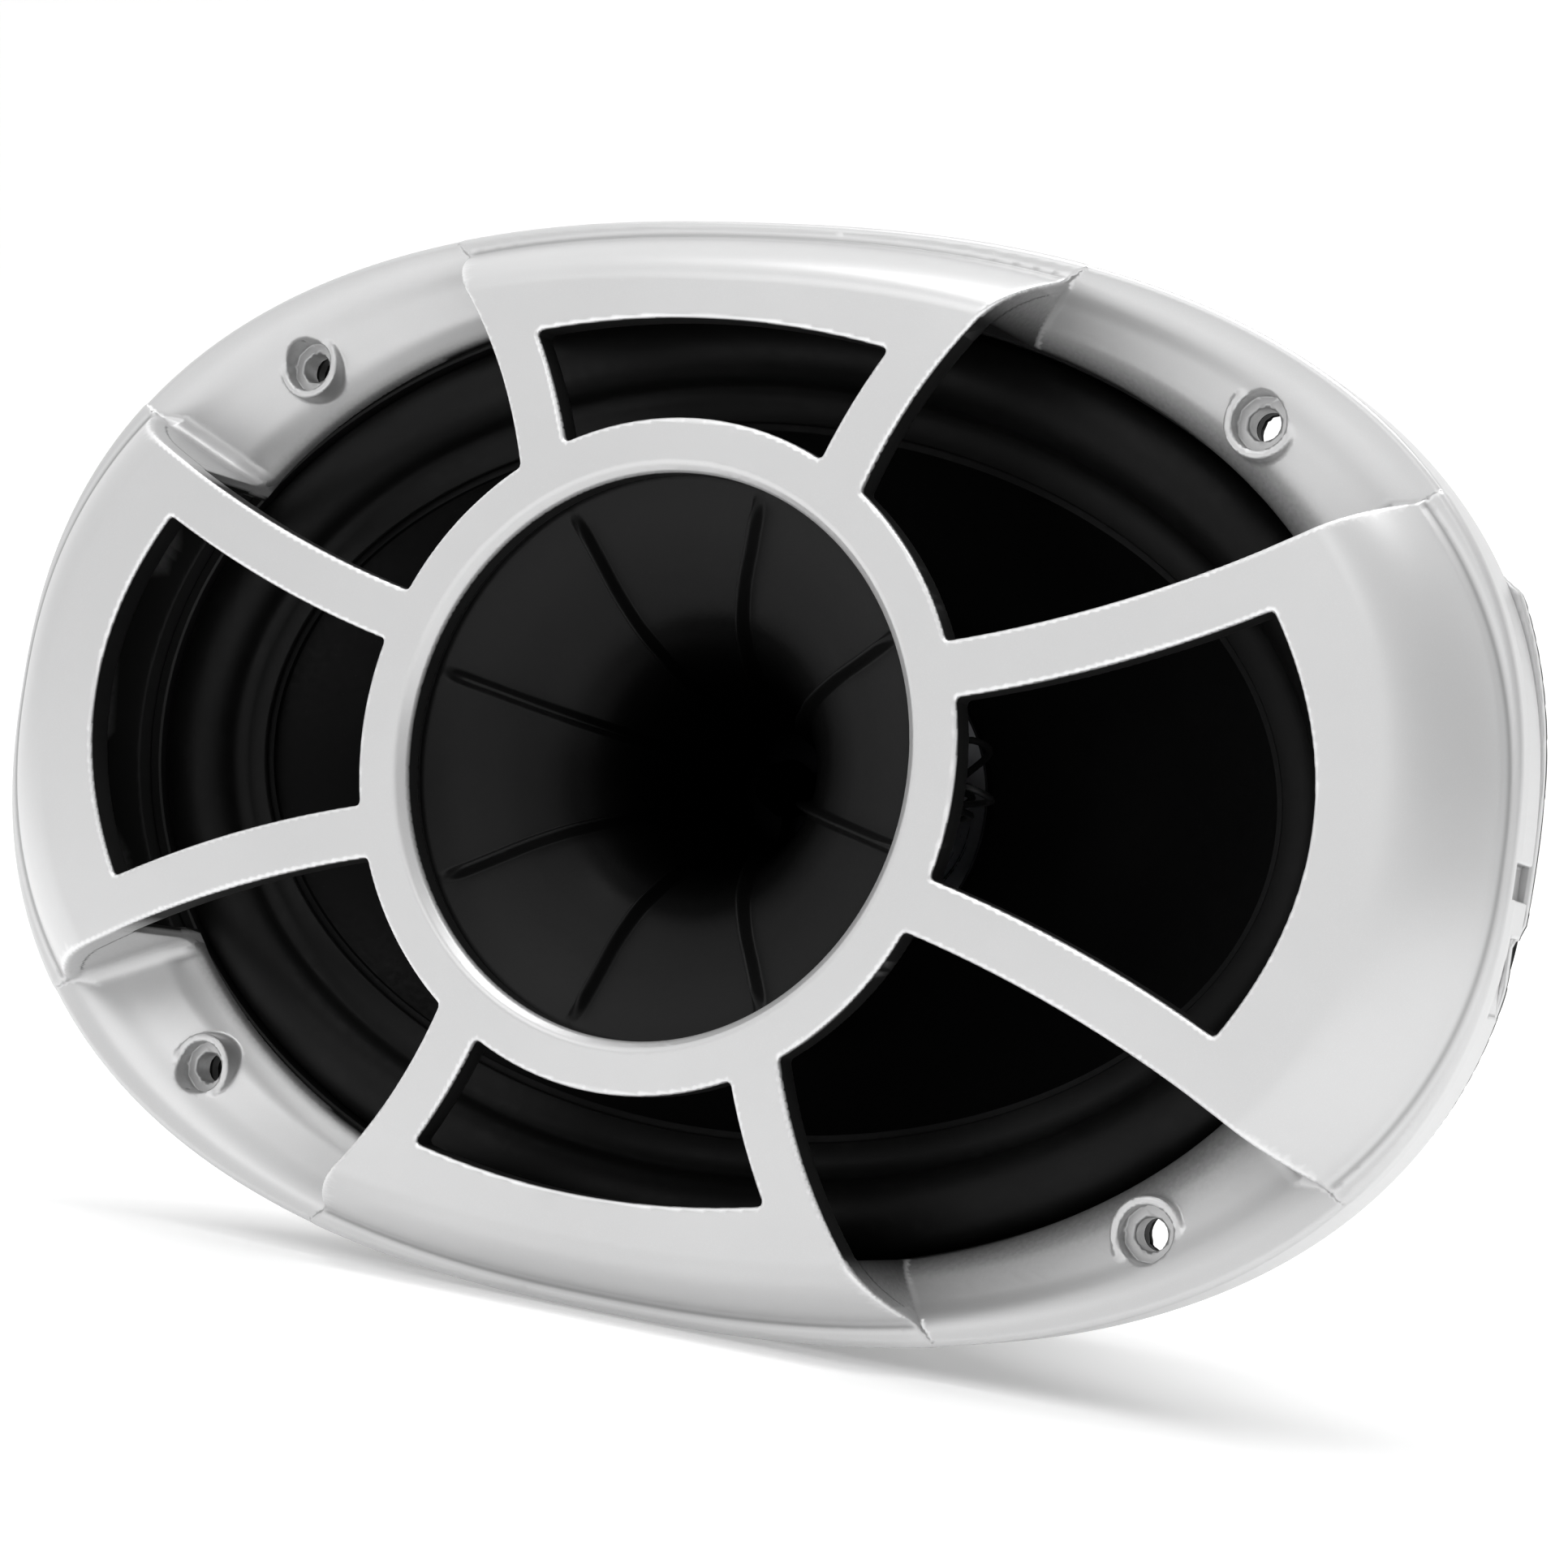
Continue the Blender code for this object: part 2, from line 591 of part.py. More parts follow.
def build_surround():
    front = roll_arc(1.0, 0.0, range(ROLL_STEPS + 1))
    back = roll_arc((ROLL_HALF - ROLL_T) / ROLL_HALF, ROLL_T, range(1, ROLL_STEPS))
    glue_in, glue_out = widened(ROLL_IN, -5.5), widened(WALL_IN, -0.3)
    profile = [(glue_in, CONE_Z - 0.5)] + front
    profile += [(glue_out, CONE_Z), (glue_out, CONE_Z - 0.6),
                (widened(ROLL_OUT, -1.2), CONE_Z - 0.6)]
    profile += back[::-1]
    profile += [(widened(ROLL_IN, 0.6), CONE_Z - 1.1), (glue_in, CONE_Z - 1.3)]
    add_part(oval_loft(profile), "surround", "rubber", smooth=60)

    inner, outer = widened(ROLL_OUT, 0.2), widened(WALL_IN, -0.3)
    profile = [(inner, CLAMP_BACK), (outer, CLAMP_BACK), (outer, CLAMP_FRONT), (inner, CLAMP_FRONT)]
    add_part(oval_loft(profile), "surround_clamp_ring", "black_plastic")


# ------------------------------------------------------------------ basket
SHELF_Z = -5.0                    # ledge just behind the surround
# Section of the basket (oval, z): down the inside, then back up the outside
BASKET_SECTION = [
    (FLANGE, FLANGE_FRONT), (WALL_IN, FLANGE_FRONT), (WALL_IN, SHELF_Z),
    ((101.2, 68.7, 2.0), SHELF_Z), ((92.5, 61.5, 2.0), -12.0), ((76.0, 56.5, 2.0), -26.0),
    ((51.0, 48.5, 2.0), SPIDER_Z + 3.0), ((50.2, 50.2, 2.0), SPIDER_Z),
    ((44.0, 44.0, 2.0), SPIDER_Z), ((42.5, 42.5, 2.0), -56.3), ((29.2, 29.2, 2.0), -56.3),
    ((29.2, 29.2, 2.0), -58.5), ((PLATE_R, PLATE_R, 2.0), -58.5),
    ((53.0, 52.5, 2.0), SPIDER_Z - 1.0), ((56.0, 53.0, 2.0), SPIDER_Z + 3.5),
    ((79.5, 59.6, 2.0), -26.6), ((96.0, 64.8, 2.0), -12.5), (WALL_OUT, -7.2),
    (WALL_OUT, FLANGE_BACK), (FLANGE, FLANGE_BACK),
]
WINDOW_CENTRES = (0, 58, 122, 180, 238, 302)        # degrees from X
WINDOW_HALF_FRONT, WINDOW_HALF_BACK = 17.0, 20.0    # half widths in degrees
WINDOW_FRONT, WINDOW_BACK = -9.5, -43.0
WINDOW_R_IN, WINDOW_R_OUT = 30.0, 130.0
TAB_Y0, TAB_Y1, TAB_STEPS = -8.5, 38.0, 12
TINSEL_X, TINSEL_Z = 9.0, -27.0                     # where the tinsel leads pass the basket
RIVETS = [polar(38.0, 45 + 90 * i) for i in range(4)]


def basket_window(centre):
    """A wedge that opens one window between two legs."""
    mesh = bmesh.new()
    bmesh.ops.create_cube(mesh, size=2)
    for vert in mesh.verts:
        x, y, z = vert.co
        half = WINDOW_HALF_FRONT if z > 0 else WINDOW_HALF_BACK
        place = polar(WINDOW_R_OUT if x > 0 else WINDOW_R_IN, centre + half * (1 if y > 0 else -1))
        vert.co = Vector((*place, WINDOW_FRONT if z > 0 else WINDOW_BACK))
    return mesh


def basket_tab():
    """Thin tab that stands out from the flange at the +X end."""
    length, width, power = FLANGE
    edge = []
    for i in range(TAB_STEPS + 1):
        y = TAB_Y0 + (TAB_Y1 - TAB_Y0) * i / TAB_STEPS
        x = length * (1 - (abs(y) / width) ** power) ** (1 / power)
        edge.append((x + 0.5 + 1.3 * (i / TAB_STEPS) ** 2, y))
    (x0, y0), (x1, y1) = edge[0], edge[-1]
    edge += [(x1 - 8, y1 - 1.5), (112.0, 14.0), (x0 - 8, y0)]
    return prism(edge, FLANGE_BACK + 0.1, FLANGE_FRONT - 0.1)


def basket_holes():
    """Screw, lead and rivet holes, and the notch in the flange."""
    bodies = []
    for side in (1, -1):
        for boss, post in list(zip(BOSSES, POSTS))[:2]:
            bodies.append(cylinder(2.6, -3, 4, 12, side * boss[0], boss[1]))
            bodies.append(cylinder(1.6, -3, 4, 8, side * post[0], post[1]))
        lead_hole = turn(cylinder(1.6, -5, 5, 8), 90, "X")
        bodies.append(move(lead_hole, side * TINSEL_X, -57.0, TINSEL_Z))
    bodies += [cylinder(2.0, -60, -55, 8, *place) for place in RIVETS]
    bodies.append(box((119.0, 130.0), NOTCH_Y, (-3, 4)))
    return joined(bodies)


def build_basket():
    basket = add_part(oval_loft(BASKET_SECTION), "basket", "basket_polymer", smooth=30)
    windows = joined([basket_window(centre) for centre in WINDOW_CENTRES])
    boolean(basket, add_helper(windows, "basket_windows"), "DIFFERENCE", "MANIFOLD")
    pads = joined([box((-17, 17), span, (-42, -21)) for span in ((52, 61.5), (-61.5, -52))])
    boolean(basket, add_helper(pads, "basket_pads"), "UNION", "MANIFOLD")
    boolean(basket, add_helper(basket_tab(), "basket_tab"), "UNION", "MANIFOLD")
    boolean(basket, add_helper(basket_holes(), "basket_holes"), "DIFFERENCE", "MANIFOLD")
    merge_flats(basket)


# ------------------------------------------------------------------ gasket and small fasteners
PANEL_Z = -2.3                    # panel face, the back of the gasket
GASKET_FRONT = PANEL_Z + 1.4
# Screw and rivet outlines (radius, z)
GRILLE_SCREW = [(0, -2.1), (2.2, -2.1), (2.7, -1.6), (2.7, -1.0), (1.2, -1.0), (1.2, 8.2),
                (0.5, 9.2), (0, 9.2)]
BASKET_RIVET = [(0, -58.6), (1.6, -58.6), (1.6, -56.1), (3.2, -56.1), (3.2, -55.4),
                (2.2, -54.7), (0, -54.7)]
DRIVER_SCREW = [(0, -35.0), (1.1, -35.0), (1.1, -19.5), (2.3, -19.5), (2.3, -18.6),
                (1.6, -17.9), (0, -17.9)]
# Grille screws are numbered around the axis
GRILLE_SCREWS = [(POST_X, POST_Y), (-POST_X, POST_Y), (-POST_X, -POST_Y), (POST_X, -POST_Y)]
# name, outline, places, lathe steps
FASTENERS = (
    ("grille_screw", GRILLE_SCREW, GRILLE_SCREWS, 10),
    ("basket_rivet", BASKET_RIVET, RIVETS, 8),
    ("driver_screw", DRIVER_SCREW, DRIVER_SCREWS, 8),
)


def build_mounting_gasket():
    rings = [oval_ring(FLANGE, PANEL_Z, -0.8), oval_ring(FLANGE, GASKET_FRONT, -0.8),
             oval_ring(WALL_OUT, GASKET_FRONT, 0.4), oval_ring(WALL_OUT, PANEL_Z, 0.4)]
    gasket = add_part(loft(rings), "mounting_gasket", "foam")
    holes = []
    for boss, post in zip(BOSSES, POSTS):
        holes += [cylinder(2.8, -4, 1, 8, *boss), cylinder(3.2, -4, 1, 8, *post)]
    boolean(gasket, add_helper(joined(holes), "gasket_holes"), "DIFFERENCE", "MANIFOLD")


def build_fasteners():
    for name, outline, places, steps in FASTENERS:
        for i, place in enumerate(places):
            add_part(move(lathe(outline, steps), *place), "%s_%d" % (name, i + 1), "screw_steel")


# ------------------------------------------------------------------ plain rings and discs
# name, material, inner radius, outer radius, back, front, lathe steps
PLAIN_RINGS = (
    ("horn_gasket", "foam", 41.4, 46.0, 17.25, 17.85, 32),
    ("voice_coil_former", "former_aluminium", FORMER_R - 0.4, FORMER_R, -70.0, -40.6, 32),
    ("voice_coil_winding", "copper", FORMER_R + 0.05, 26.9, -69.0, -54.6, 32),
    ("top_plate", "zinc_steel", 27.6, PLATE_R, -64.8, -58.8, 40),
    ("magnet", "ferrite", 29.0, 50.0, -81.0, -65.1, 40),
    ("stud_washer", "zinc_steel", STUD_R + 0.3, 13.5, -88.6, -87.5, 24),
    ("tweeter_magnet", "neodymium", 0, 11.0, -35.7, -31.2, 24),
    ("tweeter_pole_disc", "zinc_steel", 0, 11.6, -30.9, -28.3, 24),
    ("tweeter_coil_former", "polyimide", 12.15, 12.45, -32.2, -27.6, 24),
    ("tweeter_winding", "copper", 12.5, 13.05, -32.0, -28.9, 24),
)


def build_plain_rings():
    for name, material_name, *sizes in PLAIN_RINGS:
        add_part(tube(*sizes), name, material_name)


# ------------------------------------------------------------------ motor
POLE_R, POLE_TOP, POLE_BORE = 24.5, -58.0, 9.0
POLE_CHAMFER = 0.8
BACK_PLATE_BACK, BACK_PLATE_FRONT = -87.3, -81.3
SPIDER_HALF_T = 0.3
SPIDER_R0, SPIDER_R1, SPIDER_WAVES = 28.4, 43.6, 6
BOOT_OUTLINE = [(15.0, -87.6), (50.3, -87.6), (50.3, -62.0), (52.6, -62.0), (52.6, -88.6),
                (51.2, -90.0), (15.0, -90.0)]       # radius, z


def build_spider():
    """Corrugated disc between the former and the basket."""
    front, back = [], []
    for i in range(SPIDER_WAVES + 1):
        radius = SPIDER_R0 + (SPIDER_R1 - SPIDER_R0) * i / SPIDER_WAVES
        z = SPIDER_Z + 1.1 + (1.0 if i % 2 else -0.2)
        front.append((radius, z + SPIDER_HALF_T))
        back.append((radius, z - SPIDER_HALF_T))
    neck = FORMER_R + 0.45
    profile = [(neck, SPIDER_Z + 2.0)] + front
    profile += [(49.6, SPIDER_Z + 0.9), (49.6, SPIDER_Z + 0.3), (44.2, SPIDER_Z + 0.3)]
    profile += back[::-1] + [(neck, SPIDER_Z + 1.3)]
    add_part(lathe(profile, 24), "spider", "spider_cloth", smooth=60)


def build_motor():
    profile = [
        (POLE_BORE, BACK_PLATE_BACK), (PLATE_R, BACK_PLATE_BACK), (PLATE_R, BACK_PLATE_FRONT),
        (POLE_R, BACK_PLATE_FRONT), (POLE_R, POLE_TOP - POLE_CHAMFER),
        (POLE_R - POLE_CHAMFER, POLE_TOP), (POLE_BORE, POLE_TOP),
    ]
    add_part(lathe(profile, 40), "back_plate_and_pole", "zinc_steel")
    add_part(lathe(BOOT_OUTLINE, 40), "magnet_boot", "rubber")


# ------------------------------------------------------------------ tweeter on its hollow stud
STUD_BORE = 2.6
STUD_TIP_R = STUD_R - 0.6
# Outlines are (radius, z)
STUD_OUTLINE = [(STUD_BORE, -92.0), (STUD_R, -92.0), (STUD_R, -42.3), (7.5, -42.3), (7.5, -40.6),
                (STUD_TIP_R, -40.6), (STUD_TIP_R, -36.4), (STUD_BORE, -36.4)]
POT_OUTLINE = [(STUD_R, -40.3), (POT_R - 0.8, -40.3), (POT_R, -39.5), (POT_R, -28.2),
               (13.6, -28.2), (13.6, -36.0), (STUD_R, -36.0)]
SUSPENSION_OUTLINE = [(12.75, -27.0), (13.6, -26.2), (14.6, -26.2), (15.3, -27.0),
                      (15.3, -27.4), (14.5, -26.6), (13.7, -26.6), (12.75, -27.4)]
PLUG_OUTLINE = [(0, -12.0), (1.5, -14.0), (3.4, -18.0), (4.6, -22.8), (3.4, -23.6), (0, -23.3)]
DOME_R, DOME_EDGE_R = 29.5, 12.1    # radius of curvature, radius of the edge
DOME_TOP, DOME_T, DOME_STEPS = -24.6, 0.4, 5


def build_stud():
    stud = add_part(lathe(STUD_OUTLINE, 20), "tweeter_stud", "zinc_steel")
    slot = box((0.0, 6.0), (-1.9, 1.9), (-56.0, -46.5))
    boolean(stud, add_helper(slot, "stud_slot"), "DIFFERENCE")
    nut = add_part(cylinder(7.2, -91.65, -88.75, 6), "stud_nut", "zinc_steel")
    bore = cylinder(STUD_R + 0.3, -94, -86, 20)
    boolean(nut, add_helper(bore, "nut_bore"), "DIFFERENCE")


def build_tweeter_housing():
    pot = add_part(lathe(POT_OUTLINE, 32), "tweeter_pot", "zinc_steel")
    holes = driver_holes(1.4, -36.5, -27, 8)
    boolean(pot, add_helper(holes, "pot_screw_holes"), "DIFFERENCE", "MANIFOLD")
    frame = add_part(tube(15.6, POT_R, -27.9, -22.6, 32), "diaphragm_frame", "black_plastic")
    holes = driver_holes(1.5, -29, -21, 10)
    boolean(frame, add_helper(holes, "frame_screw_holes"), "DIFFERENCE", "MANIFOLD")


def build_diaphragm():
    front = []
    for i in range(DOME_STEPS + 1):
        angle = math.asin(DOME_EDGE_R / DOME_R) * i / DOME_STEPS
        front.append((DOME_R * math.sin(angle), DOME_TOP - DOME_R * (1 - math.cos(angle))))
    back = [(radius, z - DOME_T) for radius, z in reversed(front)]
    add_part(lathe(front + back, 16), "tweeter_diaphragm", "titanium", smooth=60)
    add_part(lathe(SUSPENSION_OUTLINE, 16), "tweeter_suspension", "polyimide", smooth=60)


def build_phase_plug():
    """Bullet in the throat, held by three webs inside a ring."""
    plug = add_part(lathe(PLUG_OUTLINE, 20), "phase_plug", "horn_plastic", smooth=50)
    webs = [tube(10.6, 15.2, -24.2, -22.8, 24)]
    for i in range(3):
        web = box((3.0, 11.4), (-0.6, 0.6), (-23.9, -22.9))
        webs.append(turn(web, 30 + 120 * i, "Z"))
    for i, web in enumerate(webs):
        boolean(plug, add_helper(web, "phase_plug_web_%d" % i), "UNION")


# ------------------------------------------------------------------ terminals and crossover
# Blade section (y, z), slightly thinner where the block grips it
BLADE_SECTION = ((-65.4, -49.5), (-64.6, -49.5), (-64.6, -41.6), (-64.72, -41.4),
                 (-64.72, -29.0), (-65.28, -29.0), (-65.28, -41.4), (-65.4, -41.6))
BLADES = (("terminal_positive", 5.85, 12.15), ("terminal_negative", -10.4, -7.6))   # name, X span
INDUCTOR_PLACE = (-7.5, 63.7, -27.0)
# radius, distance along the bobbin
BOBBIN_OUTLINE = [(1.6, 0), (7.0, 0), (7.0, 1.0), (4.0, 1.0), (4.0, 6.0), (7.0, 6.0),
                  (7.0, 7.0), (1.6, 7.0)]


def build_terminals():
    block = add_part(box((-14, 14), (-68.2, -61.8), (-41, -22)), "terminal_block", "black_plastic")
    # one slot for each blade, and a groove down the middle of the outer face
    slots = [box((5.4, 12.6), (-65.6, -64.4), (-43, -28)),
             box((-11.4, -6.6), (-65.6, -64.4), (-43, -28)),
             box((-1.0, 1.0), (-70, -63.5), (-43, -20))]
    boolean(block, add_helper(joined(slots), "blade_slots"), "DIFFERENCE", "MANIFOLD")
    for name, start, end in BLADES:
        blade = extruded([(start, y, z) for y, z in BLADE_SECTION], (end - start, 0, 0))
        add_part(blade, name, "tinned_blade")


def build_crossover():
    board = box((-16.5, 16.5), (61.8, 63.4), (-43, -22.5))
    add_part(board, "crossover_board", "board_green")
    capacitor = move(turn(cylinder(3.9, -9, 9, 16), 90, "Y"), -5.5, 67.9, -38.0)
    add_part(capacitor, "crossover_capacitor", "capacitor_film")
    bobbin = move(turn(lathe(BOBBIN_OUTLINE, 20), -90, "X"), *INDUCTOR_PLACE)
    add_part(bobbin, "inductor_bobbin", "black_plastic")
    winding = move(turn(tube(4.2, 6.6, 1.2, 5.8, 20), -90, "X"), *INDUCTOR_PLACE)
    add_part(winding, "inductor_winding", "copper")
    resistor = box((3.0, 14.5), (63.7, 69.0), (-31.5, -26.0))
    add_part(resistor, "crossover_resistor", "capacitor_film")


# ------------------------------------------------------------------ wires and leads
# Paths are x, y, z. The tweeter wires run through the stud, then over the back
# of the motor to the crossover side.
POSITIVE_WIRE = (
    (22.0, 8.2, -25.5), (29.0, 10.5, -22.5), (31.0, 9.2, -26.5), (22.8, 4.4, -34.0),
    (22.6, 3.0, -41.0), (16.0, 1.0, -46.5), (6.5, 0.75, -50.0), (1.3, 0.75, -54.0),
    (0.9, 0.9, -60.0), (0.9, 0.9, -90.0), (1.2, 2.2, -93.2), (1.8, 12.0, WIRE_REAR_Z),
    (2.5, 40.0, -91.2), (3.0, 52.0, -91.0), (4.0, 57.5, -86.0), (6.0, 58.5, -60.0),
    (8.0, 63.0, -46.0), (8.0, 64.4, -41.0),
)
NEGATIVE_WIRE = (
    (22.4, 4.2, -25.5), (30.0, 3.5, -22.0), (32.4, 2.0, -26.5), (23.2, 1.0, -34.0),
    (22.8, 0.2, -41.0), (16.0, -0.8, -46.5), (6.5, -0.75, -50.0), (1.1, -0.75, -54.0),
    (-0.9, -0.9, -60.0), (-0.9, -0.9, -90.0), (-1.2, 2.2, -93.2), (-1.8, 12.0, WIRE_REAR_Z),
    (-2.5, 40.0, -91.2), (-3.0, 52.0, -91.0), (-1.0, 57.5, -86.0), (2.0, 58.5, -60.0),
    (5.2, 63.0, -46.0), (5.2, 64.4, -41.0),
)
# The positive lead, from the terminal pad to the cone neck; the other mirrors it in X
TINSEL_PATH = (
    (TINSEL_X, -61.4, TINSEL_Z), (TINSEL_X, -52.0, TINSEL_Z), (9.0, -46.0, -31.0),
    (8.0, -40.0, -38.0), (7.0, -33.0, -42.0),
)


def smooth_path(points, steps):
    """Catmull-Rom points through the given ones."""
    knots = [Vector(point) for point in points]
    knots = [knots[0] * 2 - knots[1]] + knots + [knots[-1] * 2 - knots[-2]]
    path = []
    for before, start, end, after in zip(knots, knots[1:], knots[2:], knots[3:]):
        for i in range(steps):
            share = i / steps
            path.append(0.5 * (2 * start + (end - before) * share
                               + (2 * before - 5 * start + 4 * end - after) * share * share
                               + (3 * start - before - 3 * end + after) * share ** 3))
    path.append(knots[-2])
    return path


def add_lead(name, points, radius, material_name, steps):
    curve = bpy.data.curves.new(name, "CURVE")
    curve.dimensions = "3D"
    path = smooth_path(points, steps)
    spline = curve.splines.new("POLY")
    spline.points.add(len(path) - 1)
    for slot, point in zip(spline.points, path):
        slot.co = (*(point * METRES_PER_MM), 1)
    curve.bevel_depth = radius * METRES_PER_MM
    curve.bevel_resolution = 1
    curve.use_fill_caps = True
    curve.materials.append(material(material_name))
    made = bpy.data.objects.new(name, curve)
    made.parent = speaker_axis
    parts.objects.link(made)


def build_leads():
    add_lead("tweeter_wire_positive", POSITIVE_WIRE, WIRE_R, "wire_red", steps=2)
    add_lead("tweeter_wire_negative", NEGATIVE_WIRE, WIRE_R, "wire_black", steps=2)
    for name, side in (("tinsel_lead_positive", 1), ("tinsel_lead_negative", -1)):
        path = [(side * x, y, z) for x, y, z in TINSEL_PATH]
        add_lead(name, path, 0.7, "tinsel", steps=4)


build_grille()
build_horn()
build_cone()
build_surround()
build_basket()
build_mounting_gasket()
build_fasteners()
build_plain_rings()
build_spider()
build_motor()
build_stud()
build_tweeter_housing()
build_diaphragm()
build_phase_plug()
build_terminals()
build_crossover()
build_leads()
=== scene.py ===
"""Looks for the coaxial car speaker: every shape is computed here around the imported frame."""
import json
import math

import bmesh
import bpy
import numpy as np
from mathutils import Matrix, Vector

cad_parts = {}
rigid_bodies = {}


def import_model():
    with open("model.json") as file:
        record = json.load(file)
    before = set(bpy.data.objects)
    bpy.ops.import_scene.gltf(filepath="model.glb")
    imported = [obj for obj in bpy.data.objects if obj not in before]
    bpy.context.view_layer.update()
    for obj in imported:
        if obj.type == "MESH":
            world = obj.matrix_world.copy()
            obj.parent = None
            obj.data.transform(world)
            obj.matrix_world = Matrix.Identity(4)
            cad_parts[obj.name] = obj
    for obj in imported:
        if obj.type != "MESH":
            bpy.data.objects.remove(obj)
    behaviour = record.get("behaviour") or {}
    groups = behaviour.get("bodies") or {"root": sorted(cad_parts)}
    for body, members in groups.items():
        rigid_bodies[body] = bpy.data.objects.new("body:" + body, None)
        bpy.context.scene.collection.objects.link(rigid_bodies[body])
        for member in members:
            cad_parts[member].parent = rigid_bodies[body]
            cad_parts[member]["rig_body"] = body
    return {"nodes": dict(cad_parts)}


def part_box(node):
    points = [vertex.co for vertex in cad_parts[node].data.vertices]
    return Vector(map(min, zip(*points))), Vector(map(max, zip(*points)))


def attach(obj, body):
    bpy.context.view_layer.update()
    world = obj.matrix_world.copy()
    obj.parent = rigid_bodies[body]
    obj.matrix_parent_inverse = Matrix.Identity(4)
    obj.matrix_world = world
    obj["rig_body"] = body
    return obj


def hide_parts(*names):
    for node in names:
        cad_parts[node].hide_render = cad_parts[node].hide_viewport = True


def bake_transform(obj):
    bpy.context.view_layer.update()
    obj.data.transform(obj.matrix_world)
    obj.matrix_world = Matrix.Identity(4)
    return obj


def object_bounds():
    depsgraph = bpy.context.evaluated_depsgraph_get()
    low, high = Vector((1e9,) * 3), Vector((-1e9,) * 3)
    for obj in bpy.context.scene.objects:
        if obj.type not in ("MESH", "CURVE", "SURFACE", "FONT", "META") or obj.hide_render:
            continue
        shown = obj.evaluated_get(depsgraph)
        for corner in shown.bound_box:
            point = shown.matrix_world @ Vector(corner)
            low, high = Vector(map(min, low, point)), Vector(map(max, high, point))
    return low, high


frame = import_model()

CAD_LO, CAD_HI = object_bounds()
MM = 0.001
MID_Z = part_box("magnet_boot")[1].y * 1000 - 90.0      # world y of the design plane z = 0
BODY = {n: o["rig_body"] for n, o in frame["nodes"].items()}

# design space: x right, y up, z forward, millimetres
RIM = (123.6, 80.2, 2.4)
CREASE = (122.3, 77.8, 2.3)
OPENING = (101.0, 71.0, 2.1)
FLANGE = (123.0, 79.6, 2.4)
WALL_IN = (106.2, 73.7, 2.0)
WALL_OUT = (108.2, 75.7, 2.0)
ROLL_OUT = (103.7, 71.2, 2.0)
ROLL_IN = (91.6, 59.1, 2.0)
RIM_Z, RIM_BACK, CROWN_Z = 11.7, 2.0, 23.1
DOME_START, DOME_DROP, BAR = 0.885, 10.8, 4.7
RING_R, MOUTH_R = 48.75, 40.9
BOSS_X, BOSS_Y, BOSS_TOP, BOSS_R, BORE_R, HOLE_R, SEAT_Z = 79.5, 55.8, 7.95, 5.3, 4.0, 2.3, 5.6
SPOKE_IN, SPOKE_OUT, POST_IN, POST_OUT = 14.83, 24.4, 64.35, 54.8
H_CORNER, H_REACH = (90.5, 28.2), 9.3
V_CORNER, V_REACH = (29.0, 60.2), 3.1
H_TIP, V_TIP = (105.0, 45.8), (49.7, 73.0)
ARM_SAG, H_SAG, V_SAG = 2.7, 1.3, 0.45
SKIN, FLOOR_T, CONE_Z = 2.2, 1.6, -4.2
PANEL_Z = -2.3


# ------------------------------------------------------------------ small maths
def to_world(p):
    p = np.asarray(p, float)
    return np.stack([p[..., 0], -p[..., 2] + MID_Z, p[..., 1]], -1) * MM


def dir_world(n):
    n = np.asarray(n, float)
    return np.stack([n[..., 0], -n[..., 2], n[..., 1]], -1)


def oval_r(oval, ang):
    a, b, n = oval
    return (np.abs(np.cos(ang) / a) ** n + np.abs(np.sin(ang) / b) ** n) ** (-1 / n)


def oval_s(oval, x, y):
    a, b, n = oval
    return (np.abs(x / a) ** n + np.abs(y / b) ** n) ** (1 / n)


def oval_d(oval, x, y):
    """Distance outside an oval, good near its edge."""
    a, b, n = oval
    s = np.maximum(oval_s(oval, x, y), 1e-6)
    gx = s ** (1 - n) * np.abs(x / a) ** (n - 1) / a
    gy = s ** (1 - n) * np.abs(y / b) ** (n - 1) / b
    return (s - 1) / np.maximum(np.hypot(gx, gy), 1e-6)


def step(a, b, x):
    t = np.clip((x - a) / (b - a), 0, 1)
    return t * t * (3 - 2 * t)


def join_r(a, b, r):
    """Union with a fillet of radius r."""
    return np.maximum(r, np.minimum(a, b)) - np.hypot(np.maximum(r - a, 0), np.maximum(r - b, 0))


def meet_r(a, b, r):
    """Intersection with a rounded edge of radius r."""
    return np.minimum(-r, np.maximum(a, b)) + np.hypot(np.maximum(r + a, 0), np.maximum(r + b, 0))


def arc(p, q, sag, count):
    (x0, y0), (x1, y1) = p, q
    length = math.hypot(x1 - x0, y1 - y0)
    nx, ny = -(y1 - y0) / length, (x1 - x0) / length
    out = []
    for i in range(count + 1):
        t = i / count
        b = 4 * t * (1 - t) * sag
        out.append((x0 + (x1 - x0) * t + nx * b, y0 + (y1 - y0) * t + ny * b))
    return out


def polar(r, deg):
    return (r * math.cos(math.radians(deg)), r * math.sin(math.radians(deg)))


def ring_arc(r, a0, a1, count):
    return [polar(r, a0 + (a1 - a0) * i / count) for i in range(count + 1)]


def inset(poly, r):
    """Moves a counter-clockwise or clockwise outline inwards by r."""
    p = np.array(poly, float)
    area = 0.5 * np.sum(p[:, 0] * np.roll(p[:, 1], -1) - p[:, 1] * np.roll(p[:, 0], -1))
    e = np.roll(p, -1, 0) - p
    e /= np.linalg.norm(e, axis=1)[:, None]
    n = np.stack([-e[:, 1], e[:, 0]], 1) * (1 if area > 0 else -1)
    n0 = np.roll(n, 1, 0)
    return p + r * (n + n0) / (1 + np.sum(n * n0, 1))[:, None]


